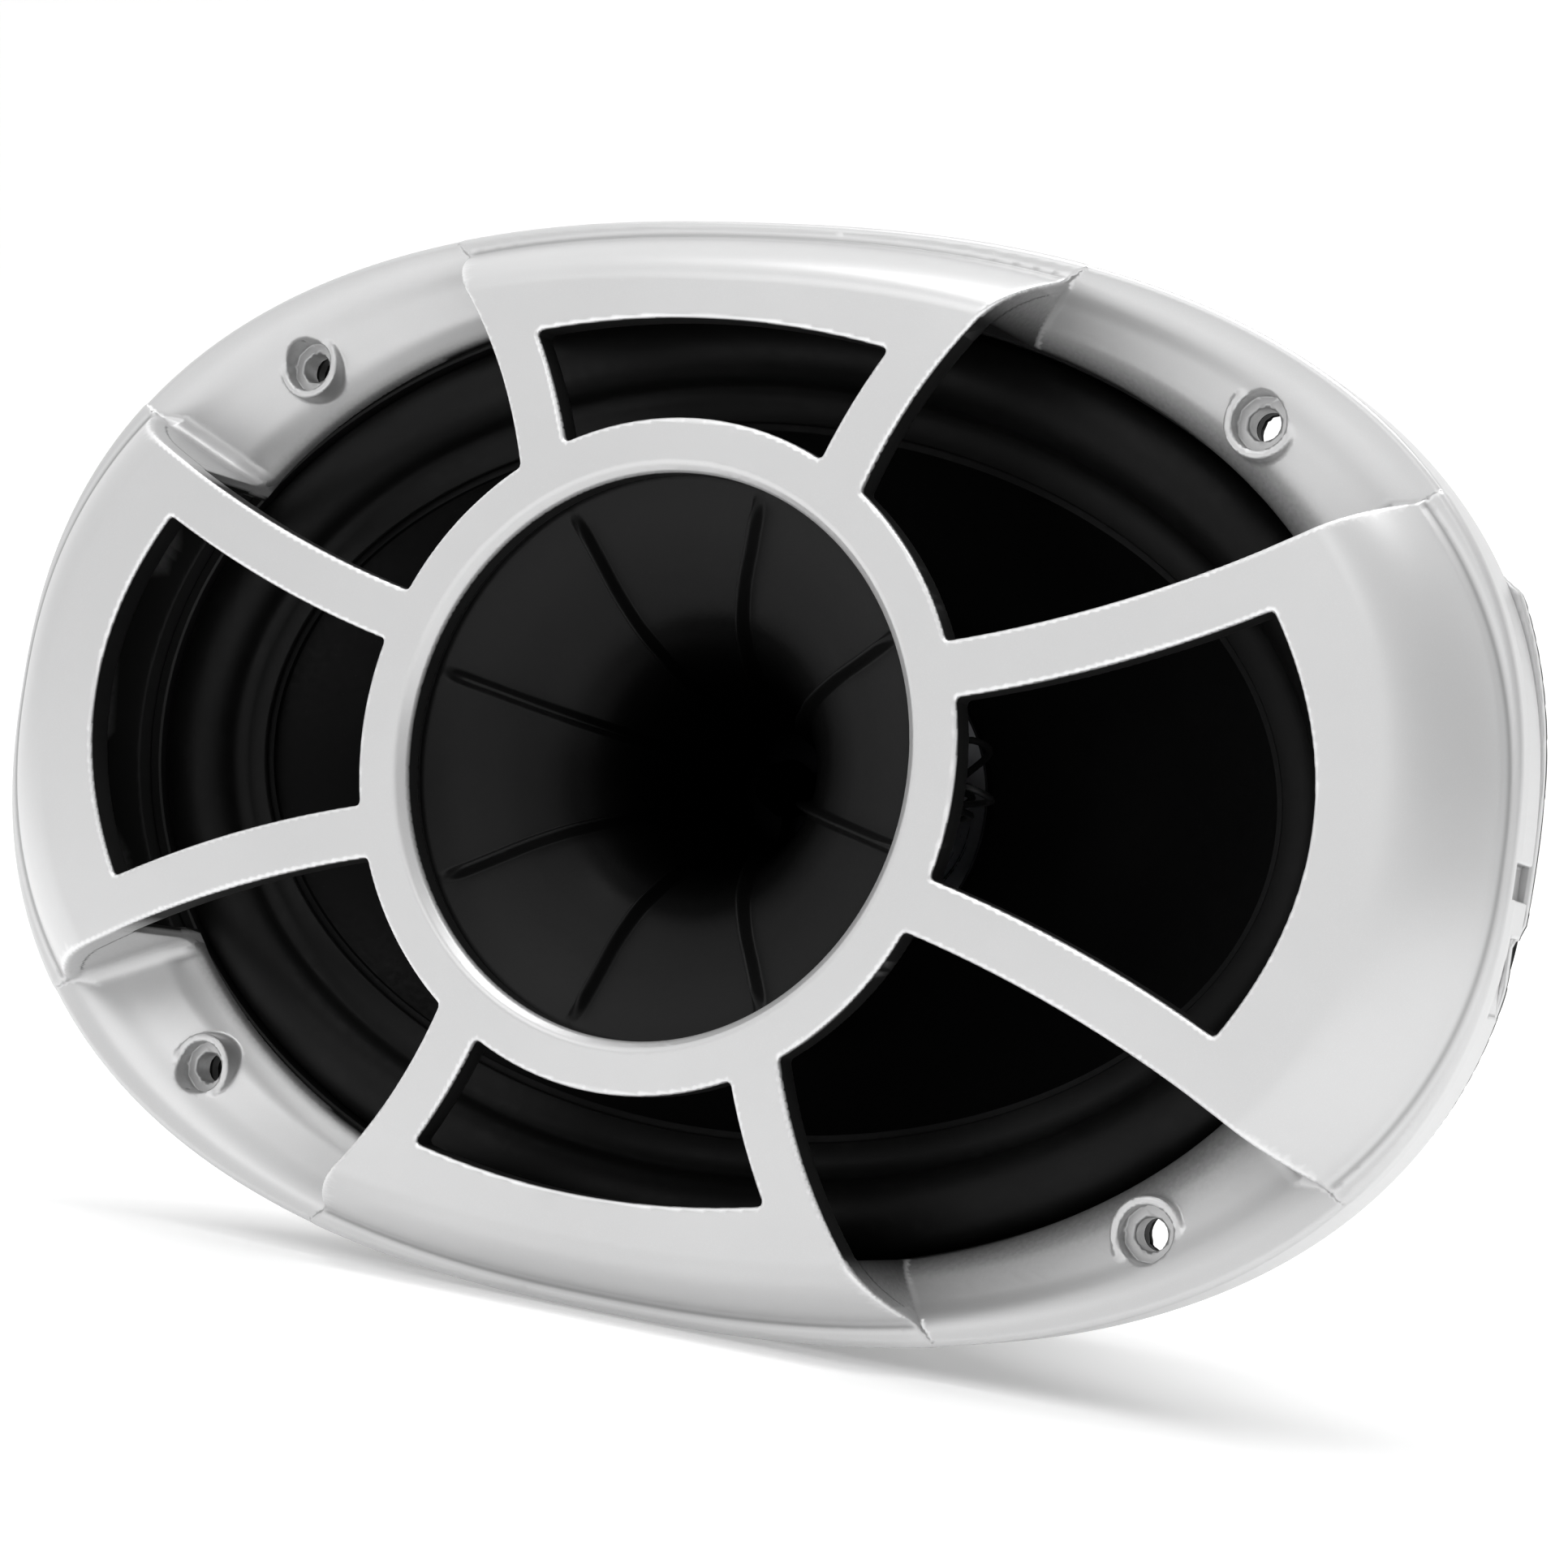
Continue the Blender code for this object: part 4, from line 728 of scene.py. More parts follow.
def basket_fn(x, y, z):
    ai, bi = graded(BASKET_IN, z)
    ao, bo = graded(BASKET_OUT, z)
    r = np.hypot(x, y)
    ang = np.degrees(np.arctan2(y, x)) % 360
    si, so = np.sqrt((x / ai) ** 2 + (y / bi) ** 2), np.sqrt((x / ao) ** 2 + (y / bo) ** 2)
    rr = np.maximum(r, 1e-6)
    d_in = (r - rr / np.maximum(si, 1e-6)) * 0.75
    d_out = (r - rr / np.maximum(so, 1e-6)) * 0.75
    void = np.minimum(np.maximum(oval_d(WALL_IN, x, y), -5.0 - z), np.maximum(d_in, -48.6 - z))
    seat = np.interp(z, [-56.3, -48.6], [42.5, 44.0])
    void = np.minimum(void, np.maximum(r - seat, -56.3 - z))
    void = np.minimum(void, r - 29.2)
    # raised spine down each leg
    off = np.abs((ang[..., None] - np.array([29.0, 90, 151, 209, 270, 331]) + 180) % 360 - 180).min(-1) * rr / 57.3
    spine = 1.1 * (1 - step(1.2, 2.4, off)) * step(-57.0, -50.0, z) * step(-9.0, -14.0, z)
    outer = meet_r(meet_r(d_out - spine, z - 1.0, 0.6), -58.5 - z, 0.8)
    flange = meet_r(meet_r(flange_d(x, y), z - 1.7, 0.45), -0.7 - z, 0.45)
    body = join_r(outer, flange, 1.2)
    half = np.interp(z, [-43.0, -9.5], [20.0, 17.0])
    win = np.full(body.shape, 1e3)
    for mid in LEGS:
        d = np.abs((ang - mid + 180) % 360 - 180)
        win = np.minimum(win, (d - half) * rr / 57.3)
    win = meet_r(np.maximum(win, 28.0 - r), np.abs(z + 26.25) - 16.75, 3.0)
    body = meet_r(body, -void, 0.4)
    body = meet_r(body, -win, 0.8)
    pads = np.minimum(slab_box(x, y, z, (-17, 52, -42), (17, 61.5, -21), 0.8),
                      slab_box(x, y, z, (-17, -61.5, -42), (17, -52, -21), 0.8))
    body = join_r(body, pads, 0.9)
    holes = np.hypot(np.abs(x) - BOSS_X, np.abs(y) - BOSS_Y) - 2.6
    holes = np.minimum(holes, np.hypot(np.abs(x) - 113.5, np.abs(y) - 20.0) - 1.6)
    holes = np.maximum(holes, -6.0 - z)
    tin = np.maximum(np.hypot(np.abs(x) - 9.0, z + 27.0) - 1.6, y + 50.0)
    riv = np.maximum(np.hypot(np.abs(x) - 26.87, np.abs(y) - 26.87) - 2.0, z + 50.0)
    notch = np.maximum(np.maximum(np.abs(y + 15.0) - 5.0, 121.9 - x), -6.0 - z)
    holes = np.minimum(np.minimum(holes, tin), np.minimum(riv, notch))
    return meet_r(body, -holes, 0.25)


def gasket_fn(x, y, z):
    body = np.maximum(oval_d(FLANGE, x, y) + 0.8, -(oval_d(WALL_OUT, x, y) - 0.4))
    body = meet_r(body, np.abs(z + 1.6) - 0.7, 0.3)
    holes = np.minimum(np.hypot(np.abs(x) - BOSS_X, np.abs(y) - BOSS_Y) - 2.8,
                       np.hypot(np.abs(x) - 113.5, np.abs(y) - 20.0) - 3.2)
    return np.maximum(body, -holes)


# ------------------------------------------------------------------ screws
def screw_fn(x, y, z):
    """Pan head at z from 0 to 1.1, shank going up to 11.3, cross recess and a thread."""
    r = np.hypot(x, y)
    head = meet_r(r - 2.7, np.abs(z - 0.55) - 0.55, 0.25)
    dome = np.hypot(r, (z - 4.3)) - 4.42
    head = np.maximum(head, dome)
    cross = np.minimum(np.maximum(np.abs(x) - 0.32 - 0.1 * (0.9 - z), np.abs(y) - 1.55 + 0.7 * z),
                       np.maximum(np.abs(y) - 0.32 - 0.1 * (0.9 - z), np.abs(x) - 1.55 + 0.7 * z))
    head = np.maximum(head, -np.maximum(cross, z - 0.9))
    turn = (z / 1.1 - np.arctan2(y, x) / (2 * math.pi)) % 1.0
    root = 1.2 - 0.24 * np.minimum(np.abs(turn - 0.5) * 2.6, 1.0)
    root = np.where(z > 10.3, root - (z - 10.3) * 1.1, root)
    shank = np.maximum((r - root) * 0.85, np.maximum(1.0 - z, z - 11.3))
    return join_r(head, shank, 0.15)


def hex_prism(x, y, flat):
    return np.maximum(np.maximum(np.abs(y), np.abs(x) * 0.8660254 + np.abs(y) * 0.5), 0) - flat


def nut_fn(x, y, z):
    r = np.hypot(x, y)
    body = meet_r(hex_prism(x, y, 6.2), np.abs(z + 90.2) - 1.45, 0.15)
    cone = np.maximum((r - 6.4 + (np.abs(z + 90.2) - 1.45) * 1.7) * 0.5, 0 * r - 50)
    body = meet_r(body, cone, 0.1)
    turn = (z / 1.0 - np.arctan2(y, x) / (2 * math.pi)) % 1.0
    bore = r - 4.32 - 0.15 * np.abs(turn - 0.5)
    return meet_r(body, -bore, 0.12)


def stud_fn(x, y, z):
    r = np.hypot(x, y)
    turn = (z / 1.0 - np.arctan2(y, x) / (2 * math.pi)) % 1.0
    thread = 0.32 * np.abs(turn - 0.5) * 2 * step(-78.0, -80.0, z)
    rod = meet_r(r - 4.0 + thread, np.abs(z + 64.2) - 27.8, 0.2)
    collar = meet_r(r - 7.5, np.abs(z + 41.45) - 0.85, 0.25)
    rod = np.where(z > -42.0, np.maximum(r - 3.4, z + 36.4), rod)
    body = join_r(rod, collar, 0.3)
    body = np.maximum(body, 2.6 - r)
    slot = meet_r(np.abs(y) - 1.9, np.abs(z + 51.25) - 4.75, 1.6)
    return meet_r(body, -np.maximum(slot, -x), 0.2)


# ------------------------------------------------------------------ materials
class Nodes:
    """Short names for building a node tree."""

    def __init__(self, name):
        self.mat = bpy.data.materials.new(name)
        self.mat.use_nodes = True
        self.t = self.mat.node_tree
        self.bsdf = self.t.nodes["Principled BSDF"]
        geo = self.t.nodes.new("ShaderNodeTexCoord")
        self.pos = geo.outputs["Object"]

    def wire(self, a, b):
        self.t.links.new(a, b)

    def set(self, socket, value):
        s = self.bsdf.inputs[socket]
        if isinstance(value, (int, float)):
            s.default_value = value
        elif isinstance(value, tuple):
            s.default_value = (*value, 1) if len(value) == 3 else value
        else:
            self.wire(value, s)

    def noise(self, scale, detail=3.0, rough=0.5, stretch=None, distort=0.0):
        n = self.t.nodes.new("ShaderNodeTexNoise")
        n.inputs["Scale"].default_value = scale
        n.inputs["Detail"].default_value = detail
        n.inputs["Roughness"].default_value = rough
        n.inputs["Distortion"].default_value = distort
        src = self.pos
        if stretch:
            m = self.t.nodes.new("ShaderNodeMapping")
            m.inputs["Scale"].default_value = stretch
            self.wire(src, m.inputs["Vector"])
            src = m.outputs["Vector"]
        self.wire(src, n.inputs["Vector"])
        return n.outputs["Fac"]

    def cells(self, scale, feature="F1", out="Distance"):
        n = self.t.nodes.new("ShaderNodeTexVoronoi")
        n.feature = feature
        n.inputs["Scale"].default_value = scale
        self.wire(self.pos, n.inputs["Vector"])
        return n.outputs[out]

    def attr(self, name):
        n = self.t.nodes.new("ShaderNodeAttribute")
        n.attribute_name = name
        return n.outputs["Fac"]

    def math(self, op, a, b=0.0, clamp=False):
        n = self.t.nodes.new("ShaderNodeMath")
        n.operation = op
        n.use_clamp = clamp
        for i, v in enumerate((a, b)):
            if isinstance(v, (int, float)):
                n.inputs[i].default_value = v
            else:
                self.wire(v, n.inputs[i])
        return n.outputs[0]

    def ramp(self, fac, a, b, lo=0.0, hi=1.0):
        """Maps fac from lo..hi to a..b, clamped."""
        n = self.t.nodes.new("ShaderNodeMapRange")
        n.inputs["From Min"].default_value = lo
        n.inputs["From Max"].default_value = hi
        n.inputs["To Min"].default_value = a
        n.inputs["To Max"].default_value = b
        self.wire(fac, n.inputs["Value"])
        return n.outputs["Result"]

    def mix(self, fac, a, b):
        n = self.t.nodes.new("ShaderNodeMix")
        n.data_type = "RGBA"
        if isinstance(fac, (int, float)):
            n.inputs["Factor"].default_value = fac
        else:
            self.wire(fac, n.inputs["Factor"])
        for s, v in (("A", a), ("B", b)):
            sock = [q for q in n.inputs if q.name == s and q.type == "RGBA"][0]
            if isinstance(v, tuple):
                sock.default_value = (*v, 1)
            else:
                self.wire(v, sock)
        return [q for q in n.outputs if q.type == "RGBA"][0]

    def bump(self, height, strength, distance, below=None):
        n = self.t.nodes.new("ShaderNodeBump")
        n.inputs["Strength"].default_value = strength
        n.inputs["Distance"].default_value = distance
        self.wire(height, n.inputs["Height"])
        if below is not None:
            self.wire(below, n.inputs["Normal"])
        self.wire(n.outputs["Normal"], self.bsdf.inputs["Normal"])
        return n.outputs["Normal"]


def silver_paint(name="silver_paint", seam=True, dark=(0.006, 0.012)):
    """Satin silver sprayed from the front over black plastic; vertex values say how much spray landed, with painted
    shade worked in on the pocket floors.
    """
    n = Nodes(name)
    paint_and_shade = n.attr("paint_and_shade")
    speck = n.noise(9000, 2, 0.6)
    cloud = n.noise(30, 4, 0.55)
    dust = n.noise(2600, 3, 0.7)
    sep = n.t.nodes.new("ShaderNodeSeparateXYZ")
    n.wire(n.pos, sep.inputs[0])
    if not seam:
        # only the front half of the flange's edge catches the spray
        paint_and_shade = n.math("MULTIPLY", paint_and_shade, n.ramp(sep.outputs[1], 1, 0, (MID_Z - 0.45) * MM, (MID_Z - 0.25) * MM))
    fringe = n.math("MULTIPLY", paint_and_shade, n.math("SUBTRACT", 1.0, paint_and_shade))
    edge = n.math("ADD", paint_and_shade, n.math("MULTIPLY", n.math("SUBTRACT", n.noise(1500, 2), 0.5),
                                       n.math("MULTIPLY", fringe, 0.8)), True)
    silver = n.mix(n.ramp(cloud, 0, 1, 0.35, 0.65), (0.606, 0.606, 0.608), (0.628, 0.628, 0.630))
    silver = n.mix(n.ramp(speck, 0, 0.5, 0.5, 0.85), silver, (0.71, 0.71, 0.715))
    # painted highlight: the bevelled top edges of arms and windows are lightened towards near white
    silver = n.mix(n.math("MULTIPLY", n.attr("bevel_highlight"), 0.75), silver, (0.95, 0.95, 0.955))
    black = n.mix(n.ramp(cloud, 0, 1, 0.3, 0.7), (dark[0],) * 3, (dark[1],) * 3)
    first = n.bump(n.noise(520, 3, 0.5), 0.05, 0.00006)
    if seam:
        # the thin shadow line where the arms stand on the rim
        a, b, e = CREASE
        u = n.math("POWER", n.math("DIVIDE", n.math("ABSOLUTE", sep.outputs[0]), a * MM), e)
        v = n.math("POWER", n.math("DIVIDE", n.math("ABSOLUTE", sep.outputs[2]), b * MM), e)
        s = n.math("POWER", n.math("ADD", u, v), 1 / e)
        rad = n.math("SQRT", n.math("ADD", n.math("MULTIPLY", sep.outputs[0], sep.outputs[0]),
                                    n.math("MULTIPLY", sep.outputs[2], sep.outputs[2])))
        d = n.math("MULTIPLY", n.math("SUBTRACT", s, 1.0), n.math("DIVIDE", rad, MM))
        q = n.math("DIVIDE", n.math("SUBTRACT", d, 0.1), 0.34)
        line = n.math("MULTIPLY", n.math("POWER", 2.718, n.math("MULTIPLY", n.math("MULTIPLY", q, q), -1.0)),
                      n.attr("arm"))
        silver = n.mix(n.math("MULTIPLY", line, 0.50), silver, (0.16, 0.16, 0.162))
        # painted highlight on the ledge just outside the seam line
        q2 = n.math("DIVIDE", n.math("SUBTRACT", d, 0.95), 0.3)
        ledge_highlight = n.math("MULTIPLY", n.math("POWER", 2.718, n.math("MULTIPLY", n.math("MULTIPLY", q2, q2), -1.0)),
                       n.attr("arm"))
        silver = n.mix(n.math("MULTIPLY", ledge_highlight, 0.22), silver, (0.85, 0.85, 0.855))
        first = n.bump(n.math("MULTIPLY", line, -1.0), 0.35, 0.0003, first)
    n.set("Base Color", n.mix(edge, black, silver))
    n.set("Metallic", n.math("MULTIPLY", edge, 0.55))
    n.set("Roughness", n.math("ADD", n.ramp(edge, 0.6, 0.34, 0, 1),
                              n.math("MULTIPLY", n.math("SUBTRACT", dust, 0.5), 0.08)))
    n.set("Specular IOR Level", n.ramp(edge, 0.2, 0.5, 0, 1))
    n.set("Coat Weight", n.math("MULTIPLY", edge, 0.15))
    n.set("Coat Roughness", 0.18)
    n.bump(speck, 0.06, 0.00003, first)
    return n.mat


def black_moulding(name, base=0.008, rough=0.46, grain=2200, strength=0.22, shade=None, spec=0.22):
    """Spark-eroded matte black plastic; with shade, the attribute of that name lays painted shade on it, near black and
    without specular.
    """
    n = Nodes(name)
    cloud = n.noise(45, 4, 0.6)
    col = n.mix(n.ramp(cloud, 0, 1, 0.3, 0.7), (base * 0.82,) * 3, (base * 1.2, base * 1.2, base * 1.22))
    if shade:
        # painted shade: where the named attribute is 1 the colour goes to near black and the specular to nothing
        col = n.mix(n.attr(shade), col, (0.0003, 0.0003, 0.0003))
        n.set("Specular IOR Level", n.ramp(n.attr(shade), spec, 0.0, 0, 1))
    else:
        n.set("Specular IOR Level", spec)
    n.set("Base Color", col)
    fine = n.noise(grain, 3, 0.65)
    n.set("Roughness", n.math("ADD", n.ramp(cloud, rough - 0.05, rough + 0.05, 0.3, 0.7),
                              n.math("MULTIPLY", n.math("SUBTRACT", fine, 0.5), 0.16)))
    first = n.bump(fine, strength, 0.00012)
    n.bump(n.noise(260, 2, 0.5), 0.08, 0.0003, first)
    return n.mat


def rubber(name, base=0.005, rough=0.52, spec=0.2):
    n = Nodes(name)
    cloud = n.noise(60, 5, 0.6)
    bloom = n.noise(420, 4, 0.7)
    col = n.mix(n.ramp(cloud, 0, 1, 0.35, 0.7), (base,) * 3, (base * 1.45,) * 3)
    col = n.mix(n.ramp(bloom, 0, 0.2, 0.58, 0.8), col, (0.02, 0.02, 0.0195))
    n.set("Base Color", col)
    n.set("Specular IOR Level", spec)
    n.set("Roughness", n.ramp(bloom, rough - 0.05, rough + 0.12, 0.3, 0.75))
    first = n.bump(n.noise(3600, 2, 0.6), 0.25, 0.00005)
    n.bump(n.noise(240, 3, 0.5), 0.10, 0.0003, first)
    return n.mat


def foam(name="closed_cell_foam"):
    n = Nodes(name)
    cell = n.cells(1500)
    n.set("Base Color", n.mix(n.ramp(cell, 0, 1, 0.1, 0.7), (0.0035, 0.0035, 0.0035), (0.0062, 0.0062, 0.0064)))
    n.set("Specular IOR Level", 0.15)
    n.set("Roughness", n.ramp(cell, 0.95, 0.8, 0.1, 0.7))
    first = n.bump(cell, 0.35, 0.0002)
    n.bump(n.noise(700, 3, 0.6), 0.3, 0.0004, first)
    return n.mat


def cone_plastic():
    """Injection-moulded polypropylene with mica."""
    n = Nodes("cone_poly")
    fleck = n.cells(3800, out="Color")
    cloud = n.noise(30, 4, 0.5)
    col = n.mix(n.ramp(cloud, 0, 1, 0.35, 0.7), (0.0020, 0.0020, 0.0021), (0.0030, 0.0030, 0.0031))
    col = n.mix(n.ramp(fleck, 0, 0.5, 0.90, 1.0), col, (0.014, 0.014, 0.0143))
    n.set("Base Color", col)
    n.set("Specular IOR Level", 0.10)
    n.set("Roughness", n.ramp(n.noise(900, 3, 0.6), 0.38, 0.54, 0.3, 0.7))
    first = n.bump(n.noise(1500, 2, 0.5), 0.16, 0.0001)
    n.bump(cloud, 0.05, 0.002, first)
    return n.mat


def metal(name, colour, rough=0.32, scratch=0.25, stain=0.12, turned=False):
    """Plated or bare metal with stains, fine scratches and, if turned, lathe rings about the axis."""
    n = Nodes(name)
    cloud = n.noise(110, 5, 0.6)
    c = colour
    col = n.mix(n.ramp(cloud, 0, 1, 0.35, 0.75), tuple(v * (1 - stain) for v in c), c)
    n.set("Base Color", col)
    n.set("Metallic", 1.0)
    hair = n.noise(900, 3, 0.6, stretch=(1.0, 9.0, 1.0) if not turned else (1.0, 1.0, 1.0))
    if turned:
        sep = n.t.nodes.new("ShaderNodeSeparateXYZ")
        n.wire(n.pos, sep.inputs[0])
        rr = n.math("SQRT", n.math("ADD", n.math("MULTIPLY", sep.outputs[0], sep.outputs[0]),
                                   n.math("MULTIPLY", sep.outputs[2], sep.outputs[2])))
        comb = n.t.nodes.new("ShaderNodeCombineXYZ")
        n.wire(rr, comb.inputs[0])
        n.wire(sep.outputs[1], comb.inputs[1])
        ring = n.t.nodes.new("ShaderNodeTexNoise")
        ring.inputs["Scale"].default_value = 2600
        ring.inputs["Detail"].default_value = 2
        n.wire(comb.outputs[0], ring.inputs["Vector"])
        hair = ring.outputs["Fac"]
    n.set("Roughness", n.math("ADD", n.ramp(cloud, rough + 0.1, rough - 0.05, 0.3, 0.7),
                              n.math("MULTIPLY", n.math("SUBTRACT", hair, 0.5), scratch)))
    n.bump(hair, 0.12, 0.00004)
    return n.mat


def ferrite():
    n = Nodes("ferrite")
    grit = n.noise(2400, 4, 0.7)
    cloud = n.noise(70, 4, 0.6)
    n.set("Base Color", n.mix(n.ramp(cloud, 0, 1, 0.3, 0.7), (0.040, 0.041, 0.044), (0.085, 0.086, 0.090)))
    n.set("Roughness", n.ramp(grit, 0.5, 0.75, 0.3, 0.7))
    n.bump(grit, 0.4, 0.0002)
    return n.mat


def cloth():
    """Resin-treated woven cotton of the centring disc."""
    n = Nodes("spider_cloth")
    waves = []
    for axis in ("X", "Z"):
        w = n.t.nodes.new("ShaderNodeTexWave")
        w.wave_type = "BANDS"
        w.bands_direction = axis
        w.inputs["Scale"].default_value = 520
        w.inputs["Distortion"].default_value = 1.2
        w.inputs["Detail"].default_value = 1
        w.inputs["Detail Scale"].default_value = 3
        n.wire(n.pos, w.inputs["Vector"])
        waves.append(w.outputs["Fac"])
    weave = n.math("MAXIMUM", waves[0], waves[1])
    stain = n.noise(90, 4, 0.6)
    col = n.mix(weave, (0.16, 0.095, 0.035), (0.44, 0.30, 0.14))
    col = n.mix(n.ramp(stain, 0, 0.5, 0.45, 0.8), col, (0.22, 0.12, 0.04))
    n.set("Base Color", col)
    n.set("Roughness", 0.85)
    n.set("Sheen Weight", 0.2)
    n.bump(weave, 0.6, 0.00018)
    return n.mat


def wound_copper(name, pitch=0.00035):
    """Enamelled copper: fine turns along the axis."""
    n = Nodes(name)
    sep = n.t.nodes.new("ShaderNodeSeparateXYZ")
    n.wire(n.pos, sep.inputs[0])
    along = n.math("MULTIPLY", sep.outputs[1], 2 * math.pi / pitch)
    turn = n.math("ABSOLUTE", n.math("SINE", along))
    tint = n.noise(300, 3, 0.5)
    n.set("Base Color", n.mix(n.ramp(tint, 0, 1, 0.3, 0.7), (0.42, 0.15, 0.06), (0.62, 0.26, 0.11)))
    n.set("Metallic", 0.9)
    n.set("Roughness", n.ramp(turn, 0.5, 0.25, 0, 1))
    n.bump(turn, 0.5, 0.0001)
    return n.mat


def board():
    """Solder-masked board: tracks under the mask and a fine glass weave."""
    n = Nodes("board_green")
    track = n.cells(210, "DISTANCE_TO_EDGE")
    mask = n.ramp(track, 1, 0, 0.10, 0.13)
    weave = n.noise(1800, 2, 0.5)
    col = n.mix(mask, (0.010, 0.085, 0.035), (0.030, 0.165, 0.065))
    col = n.mix(n.ramp(weave, 0, 0.3, 0.45, 0.7), col, (0.03, 0.12, 0.05))
    n.set("Base Color", col)
    n.set("Roughness", n.ramp(weave, 0.28, 0.42, 0.3, 0.7))
    n.set("Coat Weight", 0.4)
    n.bump(mask, 0.3, 0.00005)
    return n.mat


def coated(name, a, b, rough=0.3, grain=600, coat=0.3):
    """Dipped, moulded or sleeved skin with slight mottling."""
    n = Nodes(name)
    mott = n.noise(grain, 4, 0.6)
    n.set("Base Color", n.mix(n.ramp(mott, 0, 1, 0.35, 0.65), a, b))
    n.set("Roughness", n.ramp(mott, rough - 0.05, rough + 0.1, 0.3, 0.7))
    n.set("Coat Weight", coat)
    n.bump(mott, 0.15, 0.0001)
    return n.mat


def sleeved(name, a, b):
    """Coloured wire whose front run, ahead of the stud, is in a matt black sleeve."""
    n = Nodes(name)
    sep = n.t.nodes.new("ShaderNodeSeparateXYZ")
    n.wire(n.pos, sep.inputs[0])
    fine = n.noise(900, 3, 0.6)
    bare = n.ramp(sep.outputs[1], 0, 1, (MID_Z + 52.0) * MM, (MID_Z + 53.0) * MM)
    n.set("Base Color", n.mix(bare, (0.004, 0.004, 0.004), n.mix(fine, a, b)))
    n.set("Roughness", n.ramp(bare, 0.75, 0.42, 0, 1))
    n.set("Specular IOR Level", n.ramp(bare, 0.15, 0.45, 0, 1))
    n.bump(fine, 0.15, 0.00005)
    return n.mat


def braid():
    n = Nodes("tinsel")
    w = n.t.nodes.new("ShaderNodeTexWave")
    w.bands_direction = "DIAGONAL"
    w.inputs["Scale"].default_value = 900
    w.inputs["Distortion"].default_value = 1.0
    n.wire(n.pos, w.inputs["Vector"])
    n.set("Base Color", n.mix(w.outputs["Fac"], (0.30, 0.17, 0.08), (0.72, 0.50, 0.30)))
    n.set("Metallic", 0.7)
    n.set("Roughness", n.ramp(w.outputs["Fac"], 0.6, 0.35, 0, 1))
    n.bump(w.outputs["Fac"], 0.6, 0.0002)
    return n.mat


def film(name):
    n = Nodes(name)
    streak = n.noise(500, 4, 0.6, stretch=(1, 6, 1))
    n.set("Base Color", n.mix(streak, (0.42, 0.17, 0.02), (0.62, 0.30, 0.05)))
    n.set("Roughness", n.ramp(streak, 0.22, 0.4, 0.3, 0.7))
    n.set("Transmission Weight", 0.15)
    n.bump(streak, 0.1, 0.0001)
    return n.mat


# ------------------------------------------------------------------ small shapes
def tube(name, points, radius, per=6, seg=12, twist=None, lobes=3, lobe=0.09):
    """Closed tube along a smooth path; with twist it's a rope of a few strands."""
    path = smooth_curve(points, per)
    tan = np.gradient(path, axis=0)
    tan /= np.linalg.norm(tan, axis=1)[:, None]
    up = np.cross(tan[0], (0.3, 0.2, 0.9))
    up /= np.linalg.norm(up)
    run = np.concatenate([[0], np.cumsum(np.linalg.norm(np.diff(path, axis=0), axis=1))])
    ang = np.arange(seg) * 2 * math.pi / seg
    rings = []
    for i, (p, t) in enumerate(zip(path, tan)):
        up = up - t * (up @ t)
        up /= np.linalg.norm(up)
        side = np.cross(t, up)
        r = np.full(seg, radius)
        if twist:
            r = radius * (1 - lobe + lobe * np.abs(np.cos(lobes / 2 * (ang - 2 * math.pi * run[i] / twist))) ** 0.7)
        ring = p + r[:, None] * (np.cos(ang)[:, None] * up + np.sin(ang)[:, None] * side)
        if i == 0:
            rings.append(np.repeat(p[None], seg, 0) + 1e-7 * (ring - p))
        rings.append(ring)
    rings.append(np.repeat(path[-1][None], seg, 0) + 1e-7 * (rings[-1] - path[-1]))
    me = ring_mesh(name, np.array(rings), closed=False, weld=True)
    me.set_sharp_from_angle(angle=math.radians(60))
    return link(name, me)


def block_fn(x, y, z):
    body = slab_box(x, y, z, (-14, -68.2, -41), (14, -61.8, -22), 0.7)
    slots = np.minimum(slab_box(x, y, z, (5.4, -65.6, -43), (12.6, -64.4, -28), 0.05),
                       slab_box(x, y, z, (-11.4, -65.6, -43), (-6.6, -64.4, -28), 0.05))
    slots = np.minimum(slots, slab_box(x, y, z, (-1, -70, -43), (1, -63.5, -20), 0.1))
    steps = slab_box(x, y, z, (-13, -68.6, -25.4), (13, -67.5, -23.4), 0.2)
    return meet_r(body, -np.minimum(slots, steps), 0.15)


def blade_fn(x0, x1):
    mid = (x0 + x1) / 2
    half = (x1 - x0) / 2

    def fn(x, y, z):
        thick = np.where(z < -41.5, 0.4, 0.28)
        plan = meet_r(np.abs(x - mid) - half, np.abs(z + 39.25) - 10.25, 0.25)
        nose = np.maximum(np.abs(x - mid) - half + np.maximum(-47.9 - z, 0) * 0.45, plan)
        body = meet_r(nose, np.abs(y + 65.0) - thick + np.maximum(-48.6 - z, 0) * 0.28, 0.08)
        return meet_r(body, -(np.hypot(x - mid, z + 45.3) - 0.85), 0.08)
    return fn


def board_fn(x, y, z):
    body = slab_box(x, y, z, (-16.5, 61.8, -43), (16.5, 63.4, -22.5), 0.12)
    pads = 0 * (x + y + z) + 50.0
    for px, pz in ((8, -41), (5.2, -41), (-15.6, -38), (4.6, -38), (-12.5, -23.6), (2.6, -27), (15.2, -30)):
        pads = np.minimum(pads, np.hypot(x - px, z - pz) - 0.9)
    body = np.minimum(body, meet_r(pads, np.abs(y - 63.35) - 0.18, 0.08))
    return body


